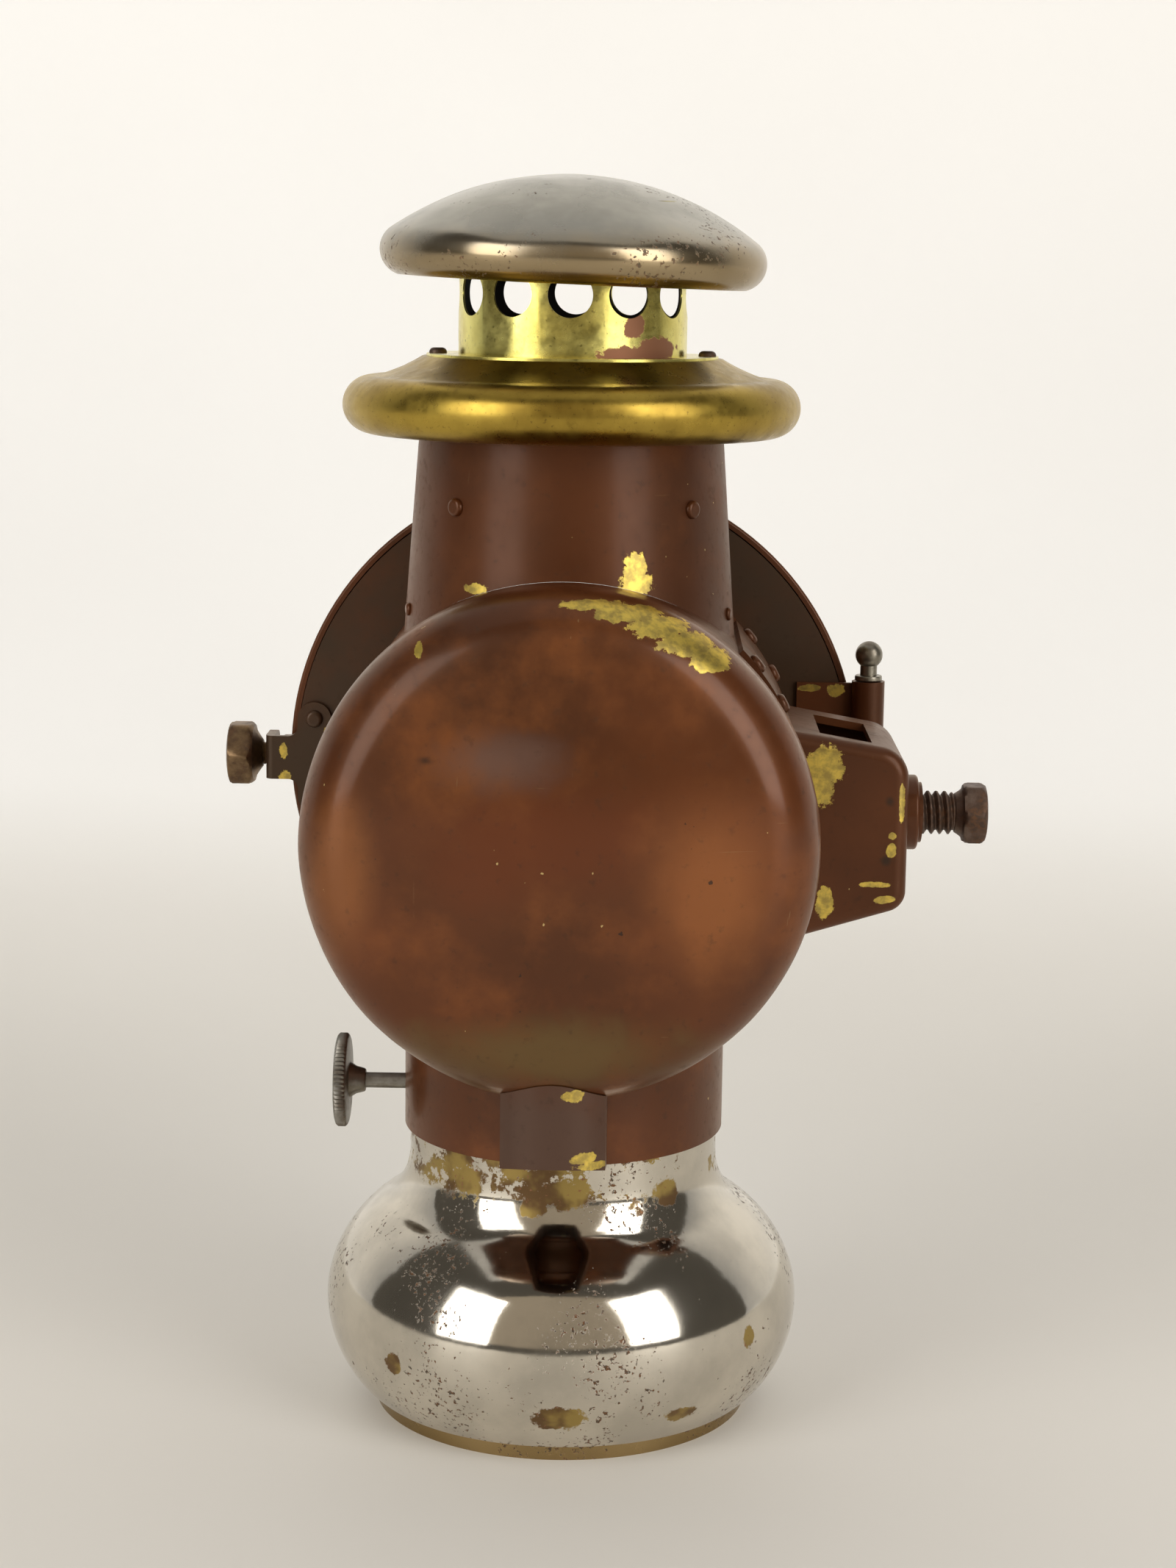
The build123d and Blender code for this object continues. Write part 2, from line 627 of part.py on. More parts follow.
def make_socket():
    """Saddle plate on the drum, bracket socket, clamp boss and rivets."""
    half = SADDLE_HALF_DEPTH
    saddle = bar_y(DRUM_RADIUS + SADDLE_THICKNESS, -half, half) - bar_y(DRUM_RADIUS, -60, 60)
    reach = 2 * DRUM_RADIUS
    rise = reach * math.tan(math.radians(SADDLE_HALF_ANGLE))
    wedge = Plane.XZ * make_face(
        polygon((0, OPTIC_Z), (-reach, OPTIC_Z + rise), (-reach, OPTIC_Z - rise))
    )
    saddle &= Pos(0, half, 0) * extrude(wedge, 2 * half)
    keep("bracket_saddle", saddle)

    drum = bar_y(DRUM_RADIUS + SADDLE_THICKNESS, -60, 60)
    outline = Plane.XZ * make_face(polygon(*SOCKET_OUTLINE))
    depth = SOCKET_HALF_DEPTH
    solid = Pos(0, depth, 0) * extrude(outline, 2 * depth)
    corners = solid.edges().filter_by(Axis.Y).group_by(Axis.X)[0].sort_by(Axis.Z)
    solid = fillet(corners[-1], SOCKET_TOP_ROUND)
    corners = solid.edges().filter_by(Axis.Y).group_by(Axis.X)[0].sort_by(Axis.Z)
    solid = fillet(corners[0], SOCKET_BOTTOM_ROUND)
    ends = solid.faces().filter_by(Axis.Y)
    rims = [edge for face in ends for edge in face.edges() if edge.center().X < -50.5]
    solid = fillet(rims, SOCKET_EDGE_ROUND)
    hollow = block(
        (-100, -40),
        (-depth + SOCKET_WALL, depth - SOCKET_WALL),
        (100, 190),
    )
    inset_outline = offset(make_face(polygon(*SOCKET_OUTLINE)), -SOCKET_WALL)
    core = Pos(0, depth, 0) * extrude(Plane.XZ * inset_outline, 2 * depth)
    core += block((-57, -40), (-depth + SOCKET_WALL, depth - SOCKET_WALL), (124, 162))
    hollow &= core
    socket = solid - hollow - block(SLOT_X, SLOT_Y, (100, 190)) - drum
    socket -= bar_x(CLAMP_RADIUS + RUNNING_GAP, -90, -72, z=CLAMP_Z)
    keep("bracket_socket", socket)

    boss = bar_x(BOSS_RADIUS, BOSS_END_X, SOCKET_OUTLINE[1][0], z=CLAMP_Z)
    boss = fillet(boss.edges().group_by(Axis.X)[0], 0.8)
    boss += bar_x(BOSS_SHOULDER_RADIUS, BOSS_SHOULDER_X, SOCKET_OUTLINE[1][0], z=CLAMP_Z)
    keep("clamp_boss", boss - bar_x(CLAMP_RADIUS + RUNNING_GAP, -90, -70, z=CLAMP_Z))

    heads = []
    wall = DRUM_RADIUS + SADDLE_THICKNESS
    for angle in (-36, 28, 39):
        for y in (-25, 25):
            turn = math.radians(180 - angle)
            normal = (math.cos(turn), 0, math.sin(turn))
            place = (wall * normal[0], y, OPTIC_Z + wall * normal[2])
            heads.append(rivet(2.3, 1.3, place, normal))
    keep("saddle_rivets", *heads)


def make_clamp():
    """Clamp screw and the swivel pad on its tip."""
    pad = bar_x(PAD_RADIUS, PAD_X[0], PAD_X[1], z=CLAMP_Z)
    pad = fillet(pad.edges(), 0.4)
    pad -= bar_x(PIVOT_RADIUS + RUNNING_GAP, PAD_X[0] - 1, PAD_X[0] + 1.5, z=CLAMP_Z)
    keep("clamp_pad", pad)

    thread_end = CLAMP_HEAD_X + CLAMP_NECK_LENGTH
    screw = bar_x(CLAMP_RADIUS, thread_end, PAD_X[0] - 0.3, z=CLAMP_Z)
    screw += bar_x(PIVOT_RADIUS, thread_end, PAD_X[0] + 1.3, z=CLAMP_Z)
    neck = turned(
        polygon(
            (0, 0),
            (CLAMP_HEAD_FLATS / 2 - 0.6, 0),
            (CLAMP_RADIUS - 0.4, CLAMP_NECK_LENGTH),
            (0, CLAMP_NECK_LENGTH),
        )
    )
    screw += Pos(CLAMP_HEAD_X, 0, CLAMP_Z) * Rot(0, 90, 0) * neck
    head_low = CLAMP_HEAD_X - CLAMP_HEAD_LENGTH
    screw += hex_head(CLAMP_HEAD_FLATS, head_low, CLAMP_HEAD_X, 0, CLAMP_Z, 6.7)
    keep("clamp_screw", screw)


# Door


def make_door():
    """Door ring, lens, gasket and retaining ring."""
    t = DOOR_SHEET
    outer = DOOR_RADIUS
    front = DOOR_FRONT_Y
    round_centre = (outer - 4, front + 4)
    step = GLASS_RADIUS + 0.3 + t
    cove_centre = (step + 3.5, front - 3.5)
    face_y = front - 5.6
    outline = (
        Line((outer, DOOR_BACK_Y), (outer, front + 4))
        + ThreePointArc((outer, front + 4), arc_point(round_centre, 4, -45), (outer - 4, front))
        + Line((outer - 4, front), (step + 3.5, front))
        + ThreePointArc(
            (step + 3.5, front), arc_point(cove_centre, 3.5, 135), (step, front - 3.5)
        )
        + Line((step, front - 3.5), (step, face_y))
        + Line((step, face_y), (GLASS_OPENING_RADIUS, face_y))
        + Line((GLASS_OPENING_RADIUS, face_y), (GLASS_OPENING_RADIUS, face_y + t))
        + Line((GLASS_OPENING_RADIUS, face_y + t), (step - t, face_y + t))
        + Line((step - t, face_y + t), (step - t, front - 3.5))
        + ThreePointArc(
            (step - t, front - 3.5),
            arc_point(cove_centre, 3.5 + t, 135),
            (step + 3.5, front + t),
        )
        + Line((step + 3.5, front + t), (outer - 4, front + t))
        + ThreePointArc(
            (outer - 4, front + t), arc_point(round_centre, 4 - t, -45), (outer - t, front + 4)
        )
        + Line((outer - t, front + 4), (outer - t, DOOR_BACK_Y))
        + Line((outer - t, DOOR_BACK_Y), (outer, DOOR_BACK_Y))
    )
    ring = turned(outline)
    bead = Pos(0, 0, DOOR_BACK_Y - 0.9) * Torus(outer - 0.3, 0.9)
    keep("door_ring", on_optic(ring + bead))

    glass_front = GLASS_BACK_Y - GLASS_EDGE
    lens_edge = GLASS_OPENING_RADIUS - 0.2
    curve = (lens_edge**2 + GLASS_CROWN**2) / (2 * GLASS_CROWN)
    apex_y = glass_front - GLASS_CROWN
    centre = (0, apex_y + curve)
    edge_angle = math.degrees(math.atan2(glass_front - centre[1], lens_edge))
    face = ThreePointArc(
        (lens_edge, glass_front), arc_point(centre, curve, (edge_angle - 90) / 2), (0, apex_y)
    )
    outline = (
        Line((0, GLASS_BACK_Y), (GLASS_RADIUS, GLASS_BACK_Y))
        + Line((GLASS_RADIUS, GLASS_BACK_Y), (GLASS_RADIUS, glass_front))
        + Line((GLASS_RADIUS, glass_front), (lens_edge, glass_front))
        + face
        + Line((0, apex_y), (0, GLASS_BACK_Y))
    )
    keep("lens_glass", on_optic(turned(outline)))
    keep("lens_gasket", on_optic(tube(58.1, 55.6, GLASS_BACK_Y, GLASS_BACK_Y + 0.8)))
    seat = GLASS_BACK_Y + 0.8
    keep("lens_retaining_ring", on_optic(tube(58.4, 55.0, seat, seat + 0.9)))


def make_hinge():
    """Body leaf with two knuckles, door leaf with the middle knuckle, rivets and lift-out pin."""
    bore = post(HINGE_PIN_RADIUS + RUNNING_GAP, 100, 190, HINGE_X, HINGE_Y)
    top = (HINGE_TOP_Z - KNUCKLE, HINGE_TOP_Z)
    bottom = (HINGE_BOTTOM_Z, HINGE_BOTTOM_Z + KNUCKLE)
    leaf_y = (FLANGE_BACK_Y, FLANGE_BACK_Y + 1.2)
    inner = HINGE_LEAF_INNER_X
    clear = HINGE_X + HINGE_RADIUS + FREE_GAP
    leaf = block((clear, inner), leaf_y, (bottom[0] + 0.8, top[1] - 0.8))
    for low, high in (top, bottom):
        leaf += block((HINGE_X, inner), leaf_y, (low + 0.8, high - 0.8))
        leaf += post(HINGE_RADIUS, low, high, HINGE_X, HINGE_Y)
    keep("hinge_body_leaf", leaf - bore)

    low = bottom[1] + 0.3
    high = top[0] - 0.3
    door_leaf = post(HINGE_RADIUS, low, high, HINGE_X, HINGE_Y)
    arm_x = (HINGE_X, HINGE_X + HINGE_RADIUS)
    door_leaf += block(arm_x, (DOOR_FRONT_Y + 2.5, HINGE_Y), (low, high))
    door_leaf -= bar_y(DOOR_RADIUS + 0.62, DOOR_FRONT_Y, FLANGE_BACK_Y + 4)
    door_leaf += block(arm_x, (DOOR_FRONT_Y + 2.5, DOOR_BACK_Y - 2.2), (low, high))
    door_leaf -= bar_y(DOOR_RADIUS + 0.02, DOOR_FRONT_Y - 5, FLANGE_BACK_Y + 4)
    keep("hinge_door_leaf", door_leaf - bore)

    heads = [
        rivet(1.7, 0.9, (HINGE_X + 9.4, leaf_y[1], z), (0, 1, 0))
        for z in (HINGE_BOTTOM_Z + 4, OPTIC_Z, HINGE_TOP_Z - 11)
    ]
    keep("hinge_rivets", *heads)

    ball = Pos(HINGE_X, HINGE_Y, HINGE_BALL_Z) * Sphere(HINGE_BALL_RADIUS)
    pin = post(HINGE_PIN_RADIUS, HINGE_BOTTOM_Z - 2, HINGE_BALL_Z, HINGE_X, HINGE_Y) + ball
    pin += post(2.1, HINGE_TOP_Z + 0.1, HINGE_BALL_Z, HINGE_X, HINGE_Y)
    shoulder = post(3.4, HINGE_TOP_Z + 0.1, HINGE_TOP_Z + 1.5, HINGE_X, HINGE_Y)
    keep("hinge_pin", pin + fillet(shoulder.edges(), 0.4))


def make_latch():
    """Latch strap on the flange, door lug, screw and rivets."""
    low_z = LATCH_Z - LATCH_WIDTH / 2
    high_z = LATCH_Z + LATCH_WIDTH / 2
    leg_in, leg_out = LATCH_LEG_X
    back_y = (FLANGE_BACK_Y, FLANGE_BACK_Y + 1.6)
    ears = (LATCH_Z - LATCH_EAR_SPACING / 2, LATCH_Z + LATCH_EAR_SPACING / 2)
    strap = block((LATCH_INNER_X, leg_out), back_y, (low_z, high_z))
    strap += block((LATCH_INNER_X, LATCH_EAR_X + LATCH_EAR_RADIUS), back_y, ears)
    for z in ears:
        strap += bar_y(LATCH_EAR_RADIUS, back_y[0], back_y[1], LATCH_EAR_X, z)
    leg = block((leg_in, leg_out), (LATCH_Y - 5.6, back_y[1]), (low_z, high_z))
    leg = fillet(leg.edges().filter_by(Axis.X).group_by(Axis.Y)[0], 3.0)
    strap += leg
    bend = strap.edges().filter_by(Axis.Z).filter_by(
        lambda edge: edge.center().X > leg_out - 0.1 and edge.center().Y > back_y[1] - 0.1
    )
    strap = fillet(bend, LATCH_BEND_ROUND)
    web = strap.edges().filter_by(Axis.Y).filter_by(
        lambda edge: abs(edge.center().X - LATCH_EAR_X - LATCH_EAR_RADIUS) < 0.01
        and LATCH_WIDTH / 2 - 0.1 < abs(edge.center().Z - LATCH_Z) < LATCH_WIDTH / 2 + 0.1
    )
    strap = fillet(web, 2.5)
    strap -= bar_x(LATCH_SCREW_RADIUS + RUNNING_GAP, 70, 80, LATCH_Y, LATCH_Z)
    keep("latch_strap", strap)

    lug = block((66.0, LUG_OUTER_X), (LATCH_Y - 3.2, LATCH_Y + 2.2), (low_z + 1.2, high_z - 1.2))
    lug = fillet(lug.edges().filter_by(Axis.Y).group_by(Axis.X)[-1], 1.2)
    ring_form = bar_y(DOOR_RADIUS, DOOR_FRONT_Y, DOOR_BACK_Y + 1)
    bead = on_optic(Pos(0, 0, DOOR_BACK_Y - 0.9) * Torus(DOOR_RADIUS - 0.3, 0.92))
    keep("latch_lug", lug - ring_form - bead)

    screw = bar_x(LATCH_SCREW_RADIUS, LUG_OUTER_X + 0.3, LATCH_HEAD_X, LATCH_Y, LATCH_Z)
    length = LATCH_NECK_LENGTH
    neck = turned(polygon((0, 0), (3.5, 0), (6.7, length), (0, length)))
    screw += Pos(LATCH_HEAD_X - length, LATCH_Y, LATCH_Z) * Rot(0, 90, 0) * neck
    head_high = LATCH_HEAD_X + LATCH_HEAD_LENGTH
    screw += hex_head(LATCH_HEAD_FLATS, LATCH_HEAD_X, head_high, LATCH_Y, LATCH_Z, 7.8)
    keep("latch_screw", screw)

    heads = [rivet(2.2, 1.2, (LATCH_EAR_X, back_y[1], z), (0, 1, 0)) for z in ears]
    keep("latch_rivets", *heads)


make_fount()
make_burner()
make_winder()
make_drum()
make_collar()
make_chimney()
make_crown()
make_socket()
make_clamp()
make_door()
make_hinge()
make_latch()

os.makedirs("parts", exist_ok=True)
for name, shape in parts.items():
    export_step(shape, f"parts/{name}.step")
    print(name, round(shape.volume, 1))
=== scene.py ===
import math

import bmesh
import bpy
from mathutils import Matrix, Vector, noise


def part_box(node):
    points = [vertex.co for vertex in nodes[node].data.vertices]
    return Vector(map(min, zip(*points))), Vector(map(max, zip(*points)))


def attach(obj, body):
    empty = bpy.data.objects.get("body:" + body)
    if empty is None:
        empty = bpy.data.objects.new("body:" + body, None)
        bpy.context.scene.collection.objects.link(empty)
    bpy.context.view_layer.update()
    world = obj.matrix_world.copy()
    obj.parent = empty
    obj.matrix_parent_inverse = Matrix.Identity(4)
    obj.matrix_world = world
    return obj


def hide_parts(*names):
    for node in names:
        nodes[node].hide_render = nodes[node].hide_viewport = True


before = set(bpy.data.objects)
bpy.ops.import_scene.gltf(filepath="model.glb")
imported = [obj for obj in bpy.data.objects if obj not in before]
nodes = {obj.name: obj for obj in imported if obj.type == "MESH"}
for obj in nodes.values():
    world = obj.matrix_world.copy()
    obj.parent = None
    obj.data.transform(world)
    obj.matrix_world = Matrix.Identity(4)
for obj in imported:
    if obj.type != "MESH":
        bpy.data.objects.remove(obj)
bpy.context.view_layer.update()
MM = 0.001

# ---------------------------------------------------------------------------
# Camera, floor and light
# ---------------------------------------------------------------------------

CAMERA_PLACE = (-17.0, 682.8, 270.0)
CAMERA_HEADING = 0.0178
CAMERA_PITCH = math.radians(10.0)
CAMERA_ROLL = math.radians(0.76)
FOCAL_LENGTH = 67.66


def make_camera():
    """The photograph's viewpoint: behind the lamp, a little above its crown."""
    data = bpy.data.cameras.new("camera")
    data.lens = FOCAL_LENGTH
    data.sensor_width = 36.0
    data.sensor_fit = "AUTO"
    data.clip_start = 0.01
    data.clip_end = 50.0
    camera = bpy.data.objects.new("camera", data)
    level = math.cos(CAMERA_PITCH)
    look = Vector((CAMERA_HEADING * level, -level, -math.sin(CAMERA_PITCH)))
    camera.location = Vector(CAMERA_PLACE) * MM
    turn = look.to_track_quat("-Z", "Y").to_matrix().to_4x4()
    turn = turn @ Matrix.Rotation(CAMERA_ROLL, 4, "Z")
    camera.rotation_euler = turn.to_euler()
    bpy.context.scene.collection.objects.link(camera)
    bpy.context.scene.camera = camera


def area_light(name, place, target, size, power, colour):
    """A rectangular soft light aimed at a point."""
    data = bpy.data.lights.new(name, "AREA")
    data.shape = "RECTANGLE"
    data.size, data.size_y = size
    data.energy = power
    data.color = colour
    light = bpy.data.objects.new(name, data)
    light.location = place
    aim = Vector(target) - Vector(place)
    light.rotation_euler = aim.to_track_quat("-Z", "Y").to_euler()
    bpy.context.scene.collection.objects.link(light)
    return light


def make_light():
    """Two windows behind the camera, a ceiling panel and a dim, warm room wall."""
    target = (0, 0, 0.15)
    day = (1.0, 0.985, 0.96)
    area_light("window_left", (1.45, 1.38, 0.92), target, (1.05, 1.65), 20, day)
    area_light("window_right", (-1.50, 1.40, 1.0), target, (1.10, 1.75), 24, day)
    area_light("room_wall", (0.0, 3.0, 1.7), target, (5.0, 3.0), 14, (1.0, 0.84, 0.64))
    area_light("ceiling", (0.0, 0.0, 2.3), (0, 0, 0), (2.4, 1.8), 7, (1.0, 0.98, 0.95))
    world = bpy.data.worlds.new("room")
    bpy.context.scene.world = world
    world.use_nodes = True
    background = world.node_tree.nodes["Background"]
    background.inputs["Color"].default_value = (0.95, 0.87, 0.75, 1)
    background.inputs["Strength"].default_value = 0.10
    bpy.context.scene.view_settings.view_transform = "Standard"


# ---------------------------------------------------------------------------
# Node helpers
# ---------------------------------------------------------------------------


class Shader:
    """A small builder round one material's node tree."""

    def __init__(self, name):
        self.material = bpy.data.materials.new(name)
        self.material.use_nodes = True
        self.tree = self.material.node_tree
        self.nodes = self.tree.nodes
        self.bsdf = self.nodes["Principled BSDF"]
        self.coords = self.nodes.new("ShaderNodeTexCoord").outputs["Object"]

    def add(self, kind, inputs=None, **settings):
        node = self.nodes.new(kind)
        for key, value in settings.items():
            setattr(node, key, value)
        for key, value in (inputs or {}).items():
            self.feed(node.inputs[key], value)
        return node

    def feed(self, socket, value):
        if isinstance(value, bpy.types.NodeSocket):
            self.tree.links.new(value, socket)
        else:
            socket.default_value = value

    def set(self, **values):
        """Set or link the main shader's sockets; underscores stand for spaces."""
        for key, value in values.items():
            self.feed(self.bsdf.inputs[key.replace("_", " ")], value)

    def noise(self, scale, detail=4.0, roughness=0.55, stretch=(1, 1, 1), shift=(0, 0, 0), distortion=0.0):
        place = self.add(
            "ShaderNodeMapping",
            {"Vector": self.coords, "Scale": stretch, "Location": shift},
        )
        texture = self.add(
            "ShaderNodeTexNoise",
            {
                "Vector": place.outputs[0],
                "Scale": scale,
                "Detail": detail,
                "Roughness": roughness,
                "Distortion": distortion,
            },
        )
        return texture.outputs["Fac"]

    def ramp(self, value, low, high, out_low=0.0, out_high=1.0):
        node = self.add(
            "ShaderNodeMapRange",
            {
                "Value": value,
                "From Min": low,
                "From Max": high,
                "To Min": out_low,
                "To Max": out_high,
            },
            interpolation_type="SMOOTHSTEP",
        )
        return node.outputs["Result"]

    def math(self, operation, a, b=0.0):
        node = self.nodes.new("ShaderNodeMath")
        node.operation = operation
        self.feed(node.inputs[0], a)
        self.feed(node.inputs[1], b)
        return node.outputs[0]

    def mix(self, factor, a, b):
        node = self.nodes.new("ShaderNodeMix")
        node.data_type = "RGBA"
        self.feed(node.inputs["Factor"], factor)
        self.feed(node.inputs["A"], a)
        self.feed(node.inputs["B"], b)
        return node.outputs["Result"]

    def blend(self, factor, a, b):
        """Mix two plain numbers or number sockets."""
        node = self.nodes.new("ShaderNodeMix")
        node.data_type = "FLOAT"
        self.feed(node.inputs["Factor"], factor)
        self.feed(node.inputs["A"], a)
        self.feed(node.inputs["B"], b)
        return node.outputs["Result"]

    def axis(self, name):
        split = self.add("ShaderNodeSeparateXYZ", {"Vector": self.coords})
        return split.outputs[name]

    def reach(self, centre, radii):
        """Distance from an ellipsoid's centre, 1 at its surface. Both are given in mm."""
        offset = self.add(
            "ShaderNodeVectorMath",
            {0: self.coords, 1: tuple(c * MM for c in centre)},
            operation="SUBTRACT",
        )
        scaled = self.add(
            "ShaderNodeVectorMath",
            {0: offset.outputs[0], 1: tuple(1 / (r * MM) for r in radii)},
            operation="MULTIPLY",
        )
        length = self.add("ShaderNodeVectorMath", {0: scaled.outputs[0]}, operation="LENGTH")
        return length.outputs["Value"]

    def patches(self, spots, ragged, raggedness=0.7, edge=0.05):
        """One ragged-edged mask over several ellipsoid spots: (centre mm, radii mm)."""
        total = None
        for centre, radii in spots:
            reach = self.reach(centre, radii)
            total = reach if total is None else self.math("MINIMUM", total, reach)
        wobble = self.math("MULTIPLY", self.math("SUBTRACT", ragged, 0.5), raggedness * 2)
        return self.ramp(self.math("ADD", total, wobble), 1.0 + edge, 1.0 - edge)

    def soft_spot(self, centre, radii, ragged):
        """A soft-edged blot: 1 in the middle of an ellipsoid, fading to 0 at its rim."""
        reach = self.math("ADD", self.reach(centre, radii), self.math("MULTIPLY", ragged, 1.5))
        return self.ramp(reach, 1.85, 0.95)

    def bump(self, height, strength, distance, normal=None):
        inputs = {"Height": height, "Strength": strength, "Distance": distance * MM}
        if normal is not None:
            inputs["Normal"] = normal
        return self.add("ShaderNodeBump", inputs).outputs["Normal"]


def rgb(r, g, b):
    return (r, g, b, 1.0)


# ---------------------------------------------------------------------------
# Materials
# ---------------------------------------------------------------------------

TABLE_GLOW = 0.06
WALL_GLOW = 0.34
LACQUER_DARK = rgb(0.066, 0.021, 0.008)
LACQUER_BROWN = rgb(0.130, 0.038, 0.010)
LACQUER_ORANGE = rgb(0.250, 0.080, 0.020)
BRASS_BRIGHT = rgb(0.78, 0.58, 0.12)
BRASS_DULL = rgb(0.42, 0.31, 0.09)
LACQUER_METAL = 0.30
COPPER_STAIN = rgb(0.30, 0.135, 0.07)
STAIN_DARK = rgb(0.150, 0.085, 0.035)
STAIN_OLIVE = rgb(0.36, 0.255, 0.075)
SOOT = rgb(0.022, 0.017, 0.012)


def lacquer(name, bare_spots, warm=0.5, zones=(), dull=0.0):
    """Dark copper-brown lacquer over brass, worn through to bare metal in places."""
    s = Shader(name)
    broad = s.noise(14.0, 3.0, 0.5)
    cloud = s.noise(45.0, 5.0, 0.6, shift=(3, 1, 2))
    fine = s.noise(420.0, 4.0, 0.6)
    grain = s.noise(1500.0, 3.0, 0.6)
    base = s.mix(s.ramp(broad, 0.32, 0.70), LACQUER_DARK, LACQUER_BROWN)
    base = s.mix(s.math("MULTIPLY", s.ramp(cloud, 0.45, 0.80), warm), base, LACQUER_ORANGE)
    # Zones blend soft colour blots: on some parts these are lacquer tone, on others painted sheen,
    # highlight, reflection and shade.
    for centre, radii, colour, amount in zones:
        spot = s.math("MULTIPLY", s.soft_spot(centre, radii, cloud), amount)
        base = s.mix(spot, base, colour)
    grime = s.math("MULTIPLY", s.ramp(fine, 0.58, 0.74), 0.30)
    base = s.mix(grime, base, rgb(0.035, 0.018, 0.010))

    ragged = s.noise(340.0, 7.0, 0.72, shift=(1, 7, 3))
    bare = s.patches(bare_spots, ragged, 0.9) if bare_spots else None
    scratch = s.noise(70.0, 2.0, 0.5, stretch=(9, 9, 0.5), shift=(4, 2, 1), distortion=0.4)
    scratch_b = s.noise(90.0, 2.0, 0.5, stretch=(0.6, 0.6, 12), shift=(0, 5, 2), distortion=0.5)
    lines = s.math("MAXIMUM", s.ramp(scratch, 0.735, 0.755), s.ramp(scratch_b, 0.75, 0.77))
    lines = s.math("MULTIPLY", lines, s.ramp(cloud, 0.48, 0.62))
    base = s.mix(s.math("MULTIPLY", lines, 0.40), base, rgb(0.30, 0.19, 0.09))
    chips = s.ramp(s.noise(330.0, 3.0, 0.5, shift=(9, 9, 1)), 0.745, 0.755)
    base = s.mix(s.math("MULTIPLY", chips, 0.85), base, rgb(0.02, 0.012, 0.01))
    flecks = s.ramp(s.noise(480.0, 2.0, 0.5, shift=(2, 9, 6)), 0.785, 0.792)
    base = s.mix(flecks, base, rgb(0.50, 0.38, 0.16))
    rough = s.blend(s.ramp(cloud, 0.3, 0.7), 0.30 + dull, 0.44 + dull)
    rough = s.math("ADD", rough, s.math("MULTIPLY", s.ramp(fine, 0.5, 0.75), 0.12))
    metal = LACQUER_METAL
    coat = s.blend(s.ramp(broad, 0.35, 0.7), 0.20 - dull, 0.42 - dull)
    if bare is not None:
        tone = s.mix(s.ramp(fine, 0.35, 0.65), BRASS_DULL, BRASS_BRIGHT)
        base = s.mix(bare, base, tone)
        rough = s.blend(bare, rough, 0.34)
        metal = s.blend(bare, metal, 0.95)
        coat = s.blend(bare, coat, 0.0)
    s.set(Base_Color=base, Roughness=rough, Metallic=metal, Coat_Weight=coat)
    s.bsdf.inputs["Coat Roughness"].default_value = 0.16 + dull
    s.bsdf.inputs["Coat Tint"].default_value = rgb(1.0, 0.80, 0.60)
    s.bsdf.inputs["Specular IOR Level"].default_value = 0.35
    s.bsdf.inputs["Specular Tint"].default_value = rgb(1.0, 0.82, 0.62)
    height = s.math("ADD", s.math("MULTIPLY", fine, 0.5), s.math("MULTIPLY", grain, 0.2))
    if bare is not None:
        height = s.math("SUBTRACT", height, s.math("MULTIPLY", bare, 0.8))
    height = s.math("SUBTRACT", height, s.math("MULTIPLY", lines, 0.4))
    normal = s.bump(cloud, 0.22, 0.5)
    s.set(Normal=s.bump(height, 0.30, 0.10, normal))
    return s.material


